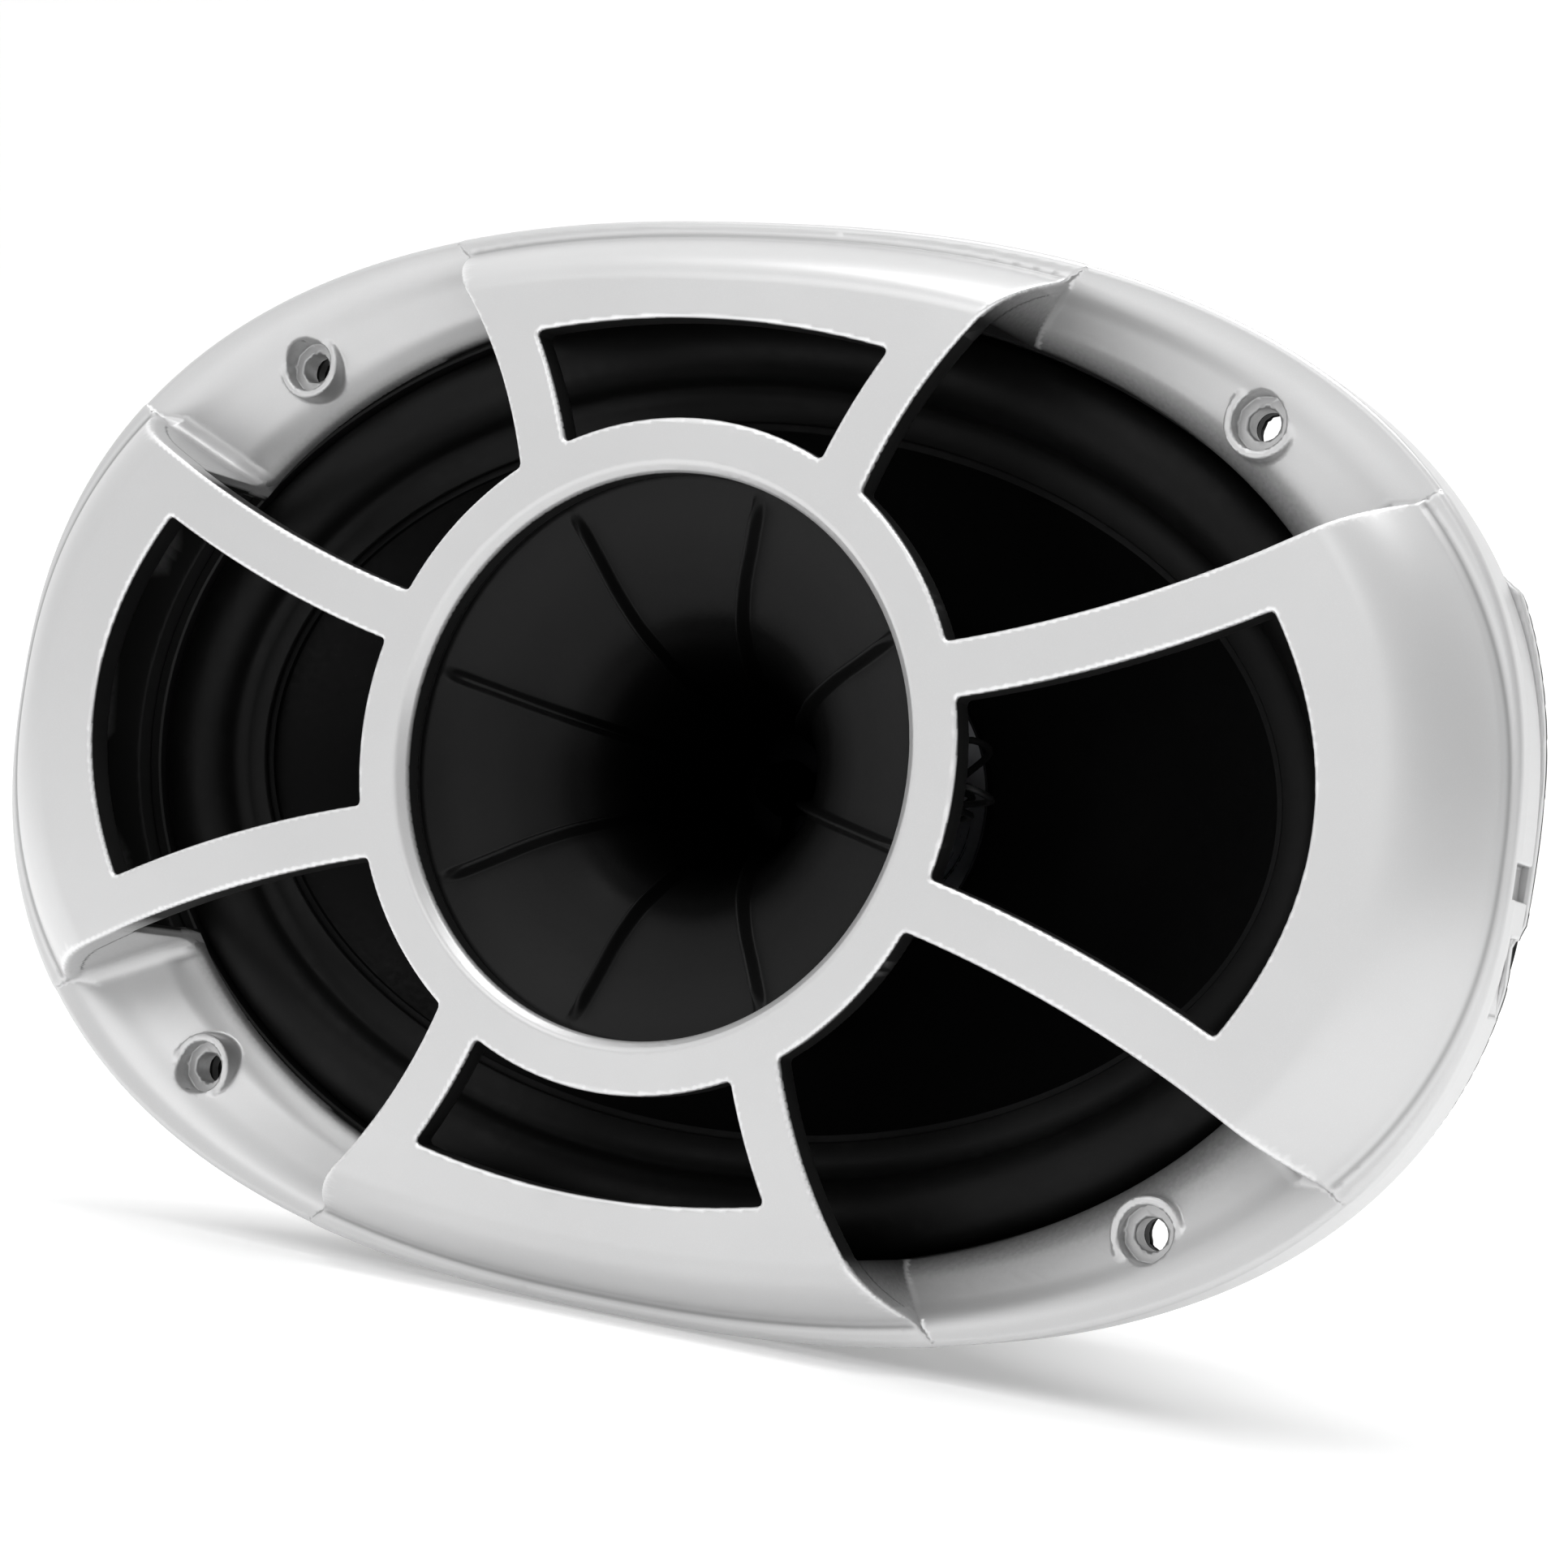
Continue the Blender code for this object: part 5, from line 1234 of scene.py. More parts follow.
def capacitor_fn(x, y, z):
    u, v, w = x + 5.5, y - 67.9, z + 38.0
    r = np.hypot(v, w)
    body = meet_r(r - 3.9, np.abs(u) - 9.0, 0.35)
    crimp = (np.abs(u - 6.9) - 0.55)
    body = meet_r(body, -np.maximum(3.55 - r, crimp), 0.25)
    end = np.maximum(2.9 - r, 0) * 0 + np.hypot(u + 9.6, r) - 1.6
    return meet_r(body, -end, 0.1)


def resistor_fn(x, y, z):
    body = slab_box(x, y, z, (3.0, 63.7, -31.5), (14.5, 69.0, -26.0), 0.45)
    trough = slab_box(x, y, z, (3.7, 68.6, -30.8), (13.8, 70.0, -26.7), 0.3)
    return meet_r(body, -trough, 0.15)


def bobbin_fn(x, y, z):
    h = y - 63.7
    r = np.hypot(x + 7.5, z + 27.0)
    body = meet_r(r - 7.0, np.abs(h - 0.5) - 0.5, 0.2)
    body = np.minimum(body, meet_r(r - 7.0, np.abs(h - 6.5) - 0.5, 0.2))
    body = join_r(body, np.maximum(r - 4.0, np.abs(h - 3.5) - 3.4), 0.15)
    lead_in = np.maximum(np.abs(x + 7.5) - 0.5, np.maximum(4.6 - r, np.abs(h - 6.5) - 0.8))
    body = np.maximum(body, -np.maximum(lead_in, -27.0 - z))
    return meet_r(body, 1.6 - r, 0.15)


def winding_fn(x, y, z):
    h = y - 63.7
    r = np.hypot(x + 7.5, z + 27.0)
    row = 0.10 * np.abs(np.sin(math.pi * (h - 1.25) / 0.5))
    return meet_r(meet_r(r - 6.5 - row, 4.2 - r, 0.1), np.abs(h - 3.5) - 2.25, 0.2)


def plug_fn(x, y, z):
    r = np.hypot(x, y)
    outline = np.interp(z, [-23.6, -23.3, -22.8, -18.0, -14.0, -12.3, -12.0], [2.6, 4.0, 4.6, 3.4, 1.5, 0.7, 0.0])
    body = np.maximum((r - outline) * 0.9, np.maximum(z + 12.0, -23.6 - z))
    ring = meet_r(np.abs(r - 12.9) - 2.3, np.abs(z + 23.5) - 0.7, 0.2)
    body = join_r(body, ring, 0.2)
    for i in range(3):
        a = math.radians(30 + 120 * i)
        along, off = x * math.cos(a) + y * math.sin(a), -x * math.sin(a) + y * math.cos(a)
        web = meet_r(meet_r(np.abs(off) - 0.6, np.abs(z + 23.4) - 0.5, 0.15), np.abs(along - 7.2) - 4.2, 0.1)
        body = join_r(body, web, 0.25)
    return body


def diaphragm_frame_fn(x, y, z):
    r = np.hypot(x, y)
    body = meet_r(np.abs(r - 18.3) - 2.7, np.abs(z + 25.25) - 2.65, 0.3)
    for i in range(3):
        px, py = polar(17.6, 90 + 120 * i)
        body = meet_r(body, -(np.hypot(x - px, y - py) - 1.5), 0.15)
    return body


def pot_fn(x, y, z):
    r = np.hypot(x, y)
    body = meet_r(meet_r(r - 21.0, np.abs(z + 34.25) - 6.05, 0.5), 4.0 - r, 0.2)
    body = meet_r(body, -np.maximum(r - 13.6, -36.0 - z), 0.25)
    for i in range(3):
        px, py = polar(17.6, 90 + 120 * i)
        body = meet_r(body, -np.maximum(np.hypot(x - px, y - py) - 1.4, -36.5 - z), 0.15)
    return body


def machine_screw_fn(x, y, z):
    """Tweeter screw: head on the -18.6 plane, cross recess, thread below."""
    r = np.hypot(x, y)
    head = meet_r(r - 2.3, np.abs(z + 18.7) - 0.8, 0.3)
    cross = np.minimum(np.maximum(np.abs(x) - 0.25, np.abs(y) - 1.2 - (z + 18.2)),
                       np.maximum(np.abs(y) - 0.25, np.abs(x) - 1.2 - (z + 18.2)))
    head = np.maximum(head, -np.maximum(cross, -18.8 - z))
    turn = (z / 0.7 - np.arctan2(y, x) / (2 * math.pi)) % 1.0
    shank = np.maximum((r - 1.1 + 0.24 * np.abs(turn - 0.5)) * 0.9, np.abs(z + 27.3) - 7.7)
    return join_r(head, shank, 0.1)


def rivet_fn(x, y, z):
    r = np.hypot(x, y)
    head = np.maximum(np.hypot(r, z + 58.1) - 4.1, -56.1 - z)
    head = meet_r(np.maximum(r - 3.2, head), z + 54.7, 0.15)
    head = meet_r(head, -(np.hypot(r, z + 53.4) - 1.5), 0.1)
    return join_r(head, np.maximum(r - 1.6, np.abs(z + 57.3) - 1.3), 0.1)


def moved(fn, at):
    return lambda x, y, z: fn(x - at[0], y - at[1], z - at[2])


def shift_copy(ob, name, dx, dy):
    """Same mesh at another place of the plan; distances in design millimetres."""
    other = link(name, ob.data.copy())
    other.location = (dx * MM, 0, dy * MM)
    return other


# ------------------------------------------------------------------ assembly
FINE = 1.0


def detail(h):
    return h * FINE


def hollow(x, y, z, r, at):
    return np.hypot(x - at[0], y - at[1]) - r


M = {
    "silver": silver_paint(),
    "horn": black_moulding("horn_plastic", 0.0046, 0.42, 1900, 0.2, shade="throat_shade", spec=0.17),
    "plug": black_moulding("plug_plastic", 0.002, 0.6, 1900, 0.2, shade="throat_shade", spec=0.05),
    "plastic": black_moulding("black_plastic", 0.010, 0.5, 2400, 0.25, spec=0.3),
    "basket": silver_paint("basket_polymer", seam=False, dark=(0.013, 0.018)),
    "rubber": rubber("rubber", 0.0032, 0.46, 0.14),
    "boot": rubber("boot_rubber", 0.010, 0.60, 0.35),
    "cone": cone_plastic(),
    "foam": foam(),
    "screw": metal("screw_steel", (0.56, 0.56, 0.57), 0.30, 0.25, 0.2),
    "zinc": metal("zinc_steel", (0.62, 0.63, 0.66), 0.34, 0.35, 0.18, turned=True),
    "nickel": metal("neodymium", (0.66, 0.64, 0.60), 0.22, 0.2, 0.1, turned=True),
    "black_zinc": metal("black_zinc", (0.012, 0.012, 0.013), 0.5, 0.25, 0.15, turned=True),
    # near-black dome colour: painted shade for the dome sitting deep behind the throat
    "titanium": metal("titanium", (0.0045, 0.0045, 0.005), 0.55, 0.2, 0.12, turned=True),
    "aluminium": metal("former_aluminium", (0.020, 0.020, 0.021), 0.5, 0.3, 0.1, turned=True),
    "blade": metal("tinned_blade", (0.74, 0.73, 0.70), 0.28, 0.25, 0.15),
    "ferrite": ferrite(),
    "cloth": cloth(),
    "copper": wound_copper("copper"),
    "board": board(),
    "cap": coated("capacitor_film", (0.035, 0.055, 0.23), (0.05, 0.08, 0.30), 0.28, 500, 0.5),
    "ceramic": coated("resistor_ceramic", (0.52, 0.50, 0.45), (0.66, 0.64, 0.58), 0.7, 1500, 0.0),
    "red": sleeved("wire_red", (0.26, 0.012, 0.010), (0.34, 0.020, 0.014)),
    "black": coated("wire_black", (0.006, 0.006, 0.006), (0.01, 0.01, 0.0105), 0.5, 900, 0.0),
    "tinsel": braid(),
    "film": film("polyimide"),
}


def build_front():
    h = 0.5
    ob, v, n = solid("front_moulding", grille_fn, (-125.5, -82.0, -1.4), (125.5, 82.0, 24.2), h,
                     190000)
    x, y, z = v.T
    nz = n[:, 2]
    t, _ = pocket_t(x, y)
    d_rim, d_pocket, d_crease = oval_d(RIM, x, y), POCKET(x, y), oval_d(CREASE, x, y)
    s = oval_s(CREASE, x, y)
    r = np.hypot(x, y)
    paint_and_shade = step(0.02, 0.45, nz)
    in_pocket = (d_pocket < 1.2) & (s > 0.78) & (z < CROWN_Z)
    tips = np.where(np.abs(y) < np.abs(x), 0.88 * step(-0.35, 0.1, t), 0.85 * step(-0.1, 0.95, t)) * step(-0.3, 0.0, nz)
    paint_and_shade = np.where(in_pocket, np.maximum(paint_and_shade, tips), paint_and_shade)
    # pocket floors darken towards the inner lip: partly thinner spray, mostly painted shade, strongest on the
    # right-hand pockets and leaving the upper pockets sooner
    floor = (d_pocket < -0.4) & (z < floor_z(t) + 1.0)
    lip_shade_reach = np.where(y > 0, 0.40, 0.54)
    lip = np.where(x > 0, 0.06 + 0.94 * step(-0.06, lip_shade_reach, t), 0.35 + 0.65 * step(-0.02, 0.12, t))
    paint_and_shade = np.where(floor, paint_and_shade * lip, paint_and_shade)
    bx, by = np.abs(x) - BOSS_X, np.abs(y) - BOSS_Y
    rb = np.hypot(bx, by)
    paint_and_shade = np.where((rb < BORE_R + 0.15) & (z < BOSS_TOP - 0.35), np.where(nz > 0.6, 0.86, 0.68), paint_and_shade)
    paint_and_shade = np.where(rb < HOLE_R + 0.25, 0.65, paint_and_shade)
    paint_and_shade = np.where((np.abs(d_crease) < 2.6) & (z > RIM_Z - 1.6) & (nz > -0.2), np.maximum(paint_and_shade, 0.95), paint_and_shade)
    paint_and_shade = np.where(nz < -0.35, 0.0, paint_and_shade)
    paint_and_shade = np.where((d_rim > -1.5) & (z < 6.0), 1.0, paint_and_shade)
    paint_and_shade = np.where((d_rim > -1.4) & (z > 1.5), np.maximum(paint_and_shade, step(-0.6, -0.1, nz)), paint_and_shade)
    # mask for the painted highlight along the bevelled top edges of the arms and windows
    plan = np.maximum(np.maximum(-LONG(x, y), -SHORT(x, y)), -d_pocket)
    top = z > np.minimum(crown(x, y, s), CROWN_Z - 1.2 * (r < MOUTH_R + 1.6)) - 1.3
    bevel_highlight = step(-1.05, -0.35, plan) * step(0.25, 0.55, nz) * step(0.995, 0.93, nz) * top * (s < 0.985)
    bevel_highlight = bevel_highlight * (d_pocket > -0.3)
    cut = (x > 117.0) & (np.abs(y + 10.0) < 12.0) & (z < 10.5)
    paint_and_shade = np.where(cut, np.maximum(paint_and_shade, 0.85), paint_and_shade)
    attribute(ob, "paint_and_shade", paint_and_shade)
    attribute(ob, "bevel_highlight", bevel_highlight)
    attribute(ob, "arm", step(0.1, 1.3, d_pocket))
    put(ob, "grille", M["silver"])


def build_basket():
    h = 0.78
    ob, v, n = solid("basket_moulding", basket_fn, (-127.0, -83.0, -60.0), (127.0, 83.0, 3.5), h, 160000)
    x, y, z = v.T
    near_cut = step(110.0, 112.0, x) * step(11.0, 9.0, np.abs(y + 15.0))
    attribute(ob, "paint_and_shade", np.maximum(step(-5.4, -4.4, flange_d(x, y)), near_cut) * step(-3.5, -2.5, z))
    put(ob, "basket", M["basket"])
    ob, v, n = solid("mounting_gasket_ring", gasket_fn, (-125.0, -82.0, -3.2), (125.0, 82.0, 0.2),
                     0.7)
    put(ob, "mounting_gasket", M["foam"])


def build_horn():
    ob = make_horn()
    co = np.empty(len(ob.data.vertices) * 3)
    ob.data.vertices.foreach_get("co", co)
    w = co.reshape(-1, 3) / MM
    r = np.hypot(w[:, 0], w[:, 2])
    zf = -(w[:, 1] - MID_Z)
    # painted shade: the horn darkens to near black towards the throat
    attribute(ob, "throat_shade", np.where(zf < 16.9, 0.22 * step(38.0, 26.0, r) + 0.78 * step(25.5, 13.0, r), 0.0))
    put(ob, "horn", M["horn"])
    ob, v, n = solid("phase_plug_body", plug_fn, (-16, -16, -24.6), (16, 16, -11.5), detail(0.3))
    # painted shade over the whole phase plug
    attribute(ob, "throat_shade", np.ones(len(v)))
    put(ob, "phase_plug", M["plug"])
    put(lathe("horn_gasket_ring", [(41.4, 17.25), (46.0, 17.25), (46.0, 17.85), (41.4, 17.85)], 0.15), "horn_gasket",
        M["foam"])


def build_cone():
    put(make_cone(), "cone", M["cone"])
    roll = put(make_surround(), "surround", M["rubber"], ride=False)

    def across(p):
        ang = np.arctan2(p[:, 1], p[:, 0])
        r = np.hypot(p[:, 0], p[:, 1])
        r1, r0 = oval_r(ROLL_OUT, ang), oval_r(ROLL_IN, ang)
        return step(0, 1, (r1 - r) / (r1 - r0))
    radial_blend(roll, across)
    disc = put(make_spider(), "spider", M["cloth"], ride=False)
    radial_blend(disc, lambda p: np.clip((44.0 - np.hypot(p[:, 0], p[:, 1])) / 16.2, 0, 1))
    ring = [(ROLL_OUT[0] + 0.2, ROLL_OUT[1] + 0.2), (WALL_IN[0] - 0.3, WALL_IN[1] - 0.3)]
    prof = [(ring[0][0], ring[0][1], -3.6), (ring[0][0], ring[0][1], -1.0), (ring[0][0] + 0.3, ring[0][1] + 0.3, -0.7),
            (ring[1][0] - 0.3, ring[1][1] - 0.3, -0.7), (ring[1][0], ring[1][1], -1.0), (ring[1][0], ring[1][1], -3.6),
            (ring[1][0] - 0.3, ring[1][1] - 0.3, -3.9), (ring[0][0] + 0.3, ring[0][1] + 0.3, -3.9)]
    me = ring_mesh("clamp_ring", oval_rings(prof, 200))
    me.set_sharp_from_angle(angle=math.radians(30))
    put(link("clamp_ring", me), "surround_clamp_ring", M["plastic"])
    put(lathe("coil_former_tube", [(25.2, -70), (25.6, -70), (25.6, -40.6), (25.2, -40.6)], 0.05), "voice_coil_former",
        M["aluminium"])
    put(lathe("coil_turns", [(25.65, -69), (26.9, -69), (26.9, -54.6), (25.65, -54.6)], 0.15), "voice_coil_winding",
        M["copper"])


def build_motor():
    put(lathe("top_plate_disc", [(27.6, -64.8), (47, -64.8), (47, -58.8), (27.6, -58.8)], 0.5), "top_plate", M["zinc"])
    put(lathe("magnet_ring", [(29, -81), (50, -81), (50, -65.1), (29, -65.1)], 0.6), "magnet", M["ferrite"])
    put(lathe("pole_piece", [(9, -87.3), (47, -87.3), (47, -81.3), (24.5, -81.3), (24.5, -58.8), (23.7, -58), (9, -58)],
              0.4), "back_plate_and_pole", M["zinc"])
    put(lathe("boot_skin", [(15.0, -87.6), (50.3, -87.6, 1.0), (50.3, -62.0), (52.6, -62.0, 0.8), (52.6, -66.0, 0.2),
                            (52.35, -66.6, 0.2), (52.35, -67.4, 0.2), (52.6, -68.0, 0.2), (52.6, -88.6, 1.2),
                            (51.2, -90.0, 1.2), (44.0, -90.0, 0.2), (43.5, -89.6, 0.2), (42.0, -89.6, 0.2),
                            (41.5, -90.0, 0.2), (17.5, -90.0, 0.6), (15.0, -89.0, 0.4)], 0.4, 160), "magnet_boot", M["boot"])
    put(lathe("washer", [(4.3, -88.6), (13.5, -88.6), (13.5, -87.5), (4.3, -87.5)], 0.2, 96), "stud_washer", M["zinc"])
    ob, v, n = solid("nut", nut_fn, (-7.6, -7.6, -92.0), (7.6, 7.6, -88.4), detail(0.2))
    put(ob, "stud_nut", M["zinc"])
    ob, v, n = solid("stud_tube", stud_fn, (-8.0, -8.0, -92.4), (8.0, 8.0, -36.0), detail(0.28))
    put(ob, "tweeter_stud", M["zinc"])
    ob, v, n = solid("pot", pot_fn, (-21.6, -21.6, -41.0), (21.6, 21.6, -27.6), detail(0.45))
    put(ob, "tweeter_pot", M["black_zinc"])
    first, v, n = solid("rivet_1", rivet_fn, (-3.6, -3.6, -59.2), (3.6, 3.6, -54.3), detail(0.25))
    for i in range(4):
        x, y = polar(38.0, 45 + 90 * i)
        ob = shift_copy(first, "rivet_%d" % (i + 1), x, y)
        put(ob, "basket_rivet_%d" % (i + 1), M["screw"])
    bpy.data.objects.remove(first)


def build_tweeter():
    put(lathe("tweeter_magnet_disc", [(0, -35.7), (11, -35.7), (11, -31.2), (0, -31.2)], 0.3, 96, on_axis=True),
        "tweeter_magnet", M["nickel"])
    put(lathe("tweeter_pole", [(0, -30.9), (11.6, -30.9), (11.6, -28.3), (0, -28.3)], 0.3, 96, on_axis=True),
        "tweeter_pole_disc", M["zinc"])
    ob, v, n = solid("diaphragm_ring", diaphragm_frame_fn, (-21.6, -21.6, -28.4), (21.6, 21.6, -22.2), detail(0.4))
    put(ob, "diaphragm_frame", M["plastic"])
    top, low = [], []
    for i in range(15):
        a = math.asin(12.1 / 29.5) * i / 14
        top.append((29.5 * math.sin(a), -24.6 - 29.5 * (1 - math.cos(a))))
        low.append((top[-1][0], top[-1][1] - 0.4))
    # the dome takes the near-black metal, painted shade
    put(lathe("tweeter_dome", top + low[::-1], 0, 96, on_axis=True), "tweeter_diaphragm", M["titanium"])
    roll = [(12.75, -27.0), (13.6, -26.2), (14.6, -26.2), (15.3, -27.0), (15.3, -27.4), (14.5, -26.6), (13.7, -26.6),
            (12.75, -27.4)]
    ob = put(lathe("tweeter_roll", roll, 0.25, 96), "tweeter_suspension", M["film"], ride=False)
    radial_blend(ob, lambda p: np.clip((15.3 - np.hypot(p[:, 0], p[:, 1])) / 2.55, 0, 1))
    put(lathe("tweeter_former_tube", [(12.15, -32.2), (12.45, -32.2), (12.45, -27.6), (12.15, -27.6)], 0.05, 96),
        "tweeter_coil_former", M["film"])
    put(lathe("tweeter_turns", [(12.5, -32.0), (13.05, -32.0), (13.05, -28.9), (12.5, -28.9)], 0.1, 96),
        "tweeter_winding", M["copper"])
    first, v, n = solid("driver_1", machine_screw_fn, (-2.7, -2.7, -35.4), (2.7, 2.7, -17.5), detail(0.17))
    for i in range(3):
        x, y = polar(17.6, 90 + 120 * i)
        put(shift_copy(first, "driver_%d" % (i + 1), x, y), "driver_screw_%d" % (i + 1), M["screw"])
    bpy.data.objects.remove(first)
    first, v, n = solid("post_1", moved(screw_fn, (0, 0, -2.1)), (-3.0, -3.0, -2.5), (3.0, 3.0, 9.6), detail(0.16))
    for i, (mx, my) in enumerate(((1, 1), (-1, 1), (-1, -1), (1, -1))):
        put(shift_copy(first, "post_screw_%d" % (i + 1), mx * 113.5, my * 20.0), "grille_screw_%d" % (i + 1), M["screw"])
    bpy.data.objects.remove(first)


WIRE_P = [(22.0, 8.2, -25.5), (29.0, 10.5, -22.5), (31.0, 9.2, -26.5), (22.8, 4.4, -34.0), (22.6, 3.0, -41.0),
          (16.0, 1.0, -46.5), (6.5, 0.75, -50.0), (1.3, 0.75, -54.0), (0.9, 0.9, -60.0), (0.9, 0.9, -90.0),
          (1.2, 2.2, -93.2), (1.8, 12.0, -93.6), (2.5, 40.0, -91.2), (3.0, 52.0, -91.0), (4.0, 57.5, -86.0),
          (6.0, 58.5, -60.0), (8.0, 63.0, -46.0), (8.0, 64.4, -41.0)]
WIRE_N = [(22.4, 4.2, -25.5), (30.0, 3.5, -22.0), (32.4, 2.0, -26.5), (23.2, 1.0, -34.0), (22.8, 0.2, -41.0),
          (16.0, -0.8, -46.5), (6.5, -0.75, -50.0), (1.1, -0.75, -54.0), (-0.9, -0.9, -60.0), (-0.9, -0.9, -90.0),
          (-1.2, 2.2, -93.2), (-1.8, 12.0, -93.6), (-2.5, 40.0, -91.2), (-3.0, 52.0, -91.0), (-1.0, 57.5, -86.0),
          (2.0, 58.5, -60.0), (5.2, 63.0, -46.0), (5.2, 64.4, -41.0)]


def build_electrics():
    ob, v, n = solid("terminal_moulding", block_fn, (-14.8, -69.0, -41.8), (14.8, -61.0, -21.2), detail(0.35))
    put(ob, "terminal_block", M["plastic"])
    ob, v, n = solid("blade_wide", blade_fn(5.85, 12.15), (5.3, -65.8, -50.0), (12.7, -64.2, -28.5), 0.16)
    put(ob, "terminal_positive", M["blade"])
    ob, v, n = solid("blade_narrow", blade_fn(-10.4, -7.6), (-10.9, -65.8, -50.0), (-7.1, -64.2, -28.5), 0.16)
    put(ob, "terminal_negative", M["blade"])
    ob, v, n = solid("board_plate", board_fn, (-17.2, 61.2, -43.6), (17.2, 64.0, -21.9), detail(0.28))
    put(ob, "crossover_board", M["board"])
    ob, v, n = solid("capacitor_can", capacitor_fn, (-15.2, 63.4, -42.5), (4.2, 72.4, -33.5), detail(0.3))
    put(ob, "crossover_capacitor", M["cap"])
    ob, v, n = solid("resistor_body", resistor_fn, (2.4, 63.1, -32.1), (15.1, 69.6, -25.4), detail(0.3))
    put(ob, "crossover_resistor", M["ceramic"])
    ob, v, n = solid("bobbin", bobbin_fn, (-15.2, 63.0, -34.7), (0.2, 71.3, -19.3), detail(0.3))
    put(ob, "inductor_bobbin", M["plastic"])
    ob, v, n = solid("coil_pack", winding_fn, (-14.8, 64.5, -34.3), (-0.2, 69.9, -19.7), detail(0.2))
    put(ob, "inductor_winding", M["copper"])
    put(tube("wire_red_run", WIRE_P, 0.55), "tweeter_wire_positive", M["red"])
    put(tube("wire_black_run", WIRE_N, 0.55), "tweeter_wire_negative", M["black"])
    for side, node in ((1, "tinsel_lead_positive"), (-1, "tinsel_lead_negative")):
        path = [(9 * side, -61.4, -27), (9 * side, -52, -27), (9 * side, -46, -31), (8 * side, -40, -38),
                (7 * side, -33, -42)]
        ob = put(tube(node.replace("lead", "braid"), path, 0.7, per=26, seg=18, twist=4.0), node, M["tinsel"], ride=False)
        radial_blend(ob, lambda p: step(0, 1, (p[:, 1] + 61.4) / 28.4))


build_front()
build_basket()
build_horn()
build_cone()
build_motor()
build_tweeter()
build_electrics()




# ------------------------------------------------------------------ stage, light and camera
def stage():
    bm = bmesh.new()
    z0 = CAD_LO.z - 0.0004
    rows = []
    for i in range(25):
        if i < 8:
            y, z = -14.0 + 14.4 * i / 8, z0
        else:
            a = (i - 8) / 16 * math.pi / 2
            y, z = 0.4 + 1.3 * math.sin(a), z0 + 1.3 * (1 - math.cos(a))
        rows.append((y, z))
    rows.append((1.7, z0 + 6.0))
    verts = [[bm.verts.new((x, y, z)) for x in np.linspace(-10.0, 10.0, 9)] for y, z in rows]
    for a, b in zip(verts, verts[1:]):
        for i in range(8):
            bm.faces.new((a[i], a[i + 1], b[i + 1], b[i]))
    me = bpy.data.meshes.new("floor")
    bm.to_mesh(me)
    bm.free()
    me.shade_smooth()
    ob = bpy.data.objects.new("floor", me)
    bpy.context.scene.collection.objects.link(ob)
    n = Nodes("pale_floor")
    n.set("Base Color", (0.86, 0.86, 0.86))
    n.set("Roughness", 0.9)
    n.set("Emission Color", (1.0, 1.0, 1.0))
    n.set("Emission Strength", 0.24)
    n.set("Specular IOR Level", 0.0)
    me.materials.append(n.mat)


def area(name, loc, aim, size, power, shape="RECTANGLE", size_y=None):
    light = bpy.data.lights.new(name, "AREA")
    light.shape = shape
    light.size = size
    light.size_y = size_y or size
    light.energy = power
    ob = bpy.data.objects.new(name, light)
    bpy.context.scene.collection.objects.link(ob)
    ob.location = loc
    ob.rotation_mode = "QUATERNION"
    ob.rotation_quaternion = (Vector(aim) - Vector(loc)).to_track_quat("-Z", "Y")
    return ob


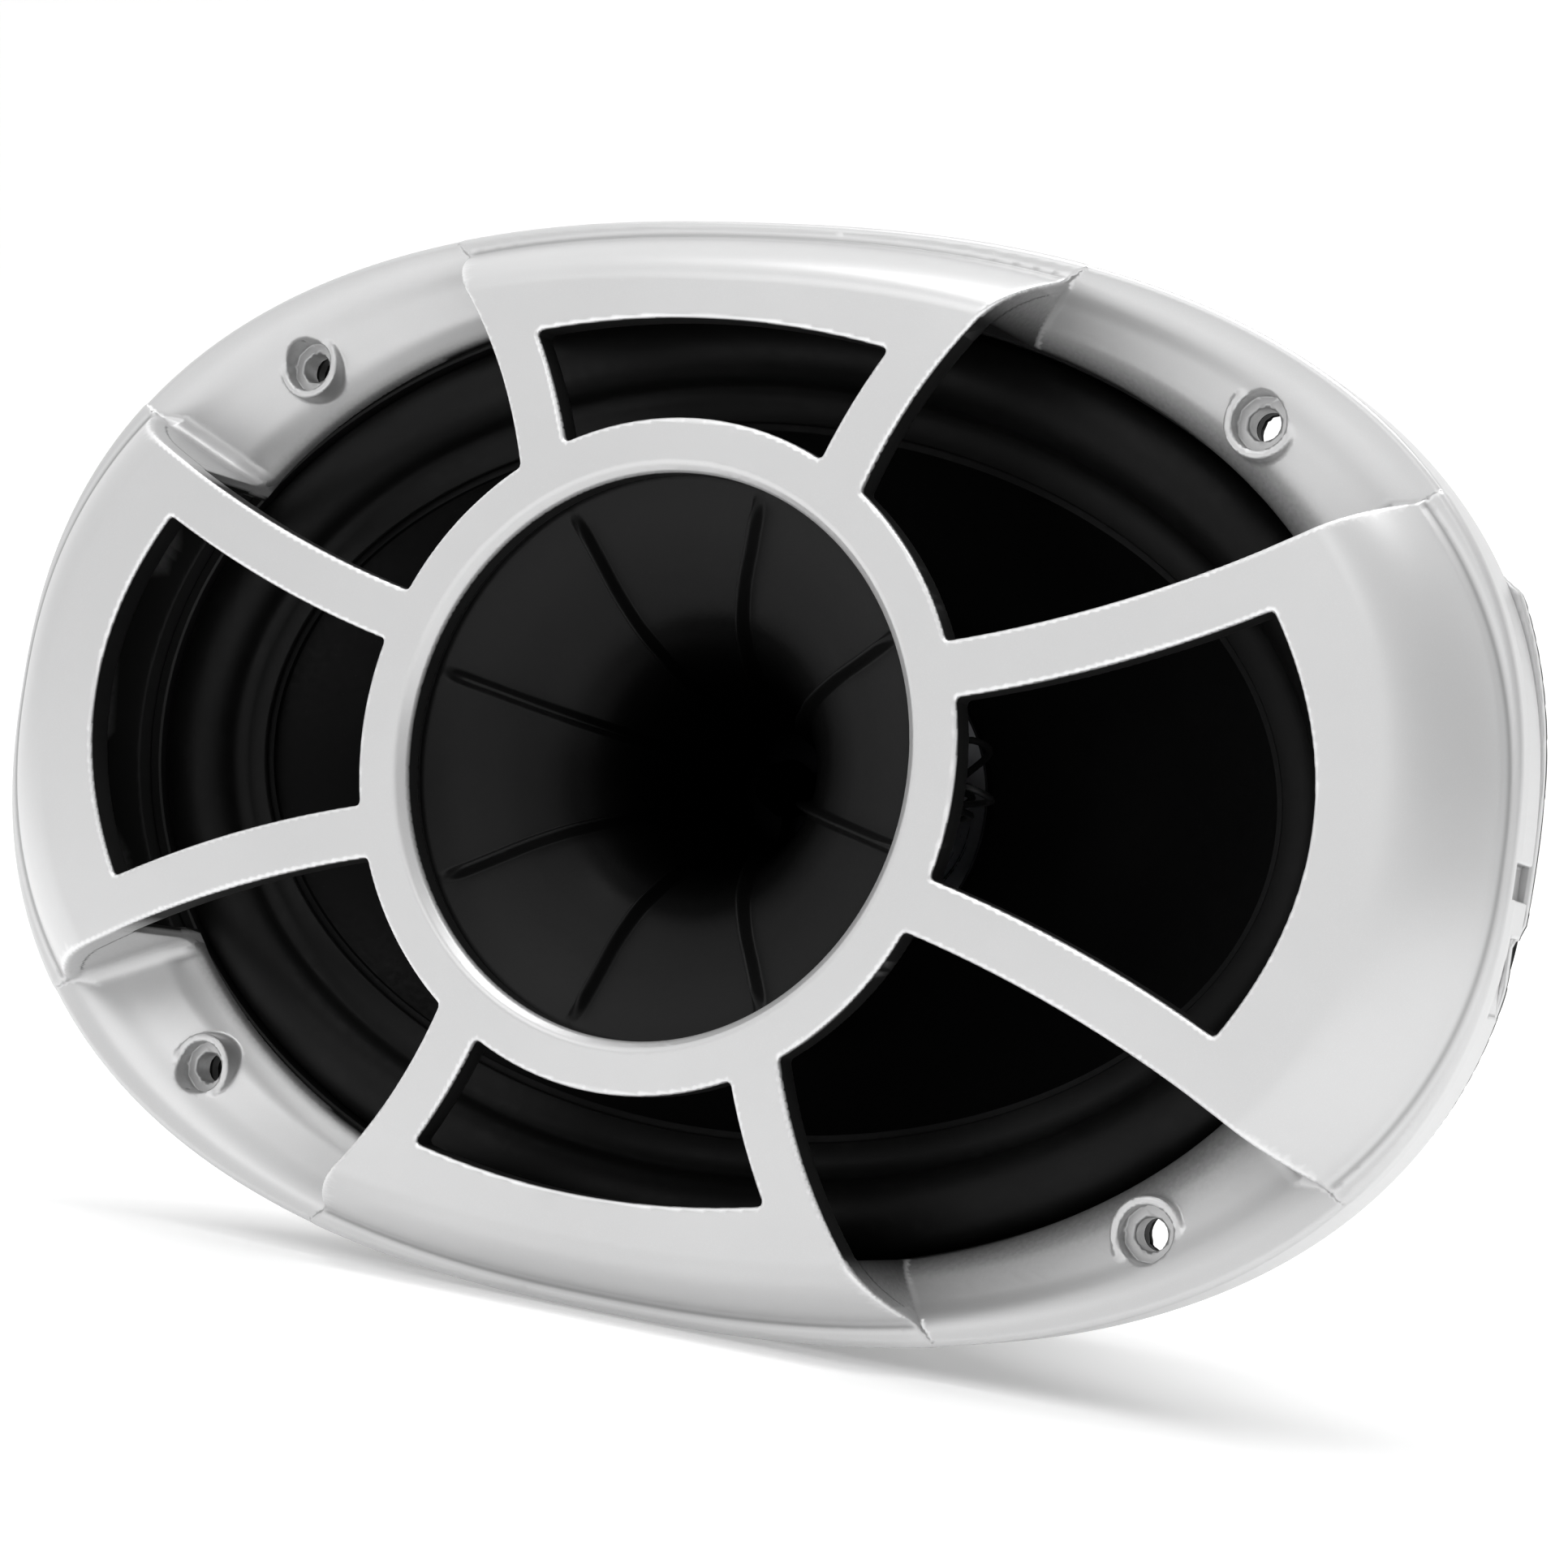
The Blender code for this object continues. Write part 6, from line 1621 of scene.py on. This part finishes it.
def lights():
    world = bpy.data.worlds.new("studio")
    bpy.context.scene.world = world
    world.use_nodes = True
    tree = world.node_tree
    back = tree.nodes["Background"]
    back.inputs[1].default_value = 1.0
    coord = tree.nodes.new("ShaderNodeTexCoord")
    sep = tree.nodes.new("ShaderNodeSeparateXYZ")
    tree.links.new(coord.outputs["Generated"], sep.inputs[0])
    level = []
    for axis, lo, hi, at_lo, at_hi in ((2, -0.2, 0.9, 0.68, 0.92), (0, -0.35, 0.85, 1.08, 0.57)):
        ramp = tree.nodes.new("ShaderNodeMapRange")
        ramp.interpolation_type = "SMOOTHSTEP"
        ramp.inputs["From Min"].default_value, ramp.inputs["From Max"].default_value = lo, hi
        ramp.inputs["To Min"].default_value, ramp.inputs["To Max"].default_value = at_lo, at_hi
        tree.links.new(sep.outputs[axis], ramp.inputs["Value"])
        level.append(ramp.outputs["Result"])
    both = tree.nodes.new("ShaderNodeMath")
    both.operation = "MULTIPLY"
    tree.links.new(level[0], both.inputs[0])
    tree.links.new(level[1], both.inputs[1])
    tree.links.new(both.outputs[0], back.inputs[0])
    area("top", (0.10, -0.12, 1.3), (0, 0, 0), 1.1, 9.2)
    area("key", (-0.40, -1.45, 0.95), (0, 0, 0), 0.9, 2.6)
    bpy.context.scene.view_settings.view_transform = "Standard"
    bpy.context.scene.view_settings.look = "None"


def camera():
    """The viewpoint of the reference view: to the right, slightly low, tilted clockwise."""
    k = 0.935
    turn = np.array([-0.0861, 0.4787, 0.1298])
    ang = np.linalg.norm(turn)
    u = turn / ang
    cross = np.array([[0, -u[2], u[1]], [u[2], 0, -u[0]], [-u[1], u[0], 0]])
    rot = np.eye(3) + math.sin(ang) * cross + (1 - math.cos(ang)) * cross @ cross
    rot = rot @ np.diag([1.0, -1.0, -1.0])
    shift = np.array([-14.0921, -2.8816, 540.5536])
    c = -(rot.T @ shift)
    loc = np.array([c[0] * k, c[1] * k, (c[2] + 8.5) * k])
    right, up, fwd = rot[0], -rot[1], rot[2]
    cam = bpy.data.cameras.new("view")
    cam.sensor_width = 36.0
    cam.lens = 4257.76 / 1932 * 36.0
    cam.clip_start, cam.clip_end = 0.01, 20
    ob = bpy.data.objects.new("view", cam)
    bpy.context.scene.collection.objects.link(ob)
    m = np.eye(4)
    m[:3, 0], m[:3, 1], m[:3, 2] = dir_world(right), dir_world(up), -dir_world(fwd)
    m[:3, 3] = to_world(loc)
    ob.matrix_world = Matrix(m.tolist())
    bpy.context.scene.camera = ob


stage()
lights()
camera()
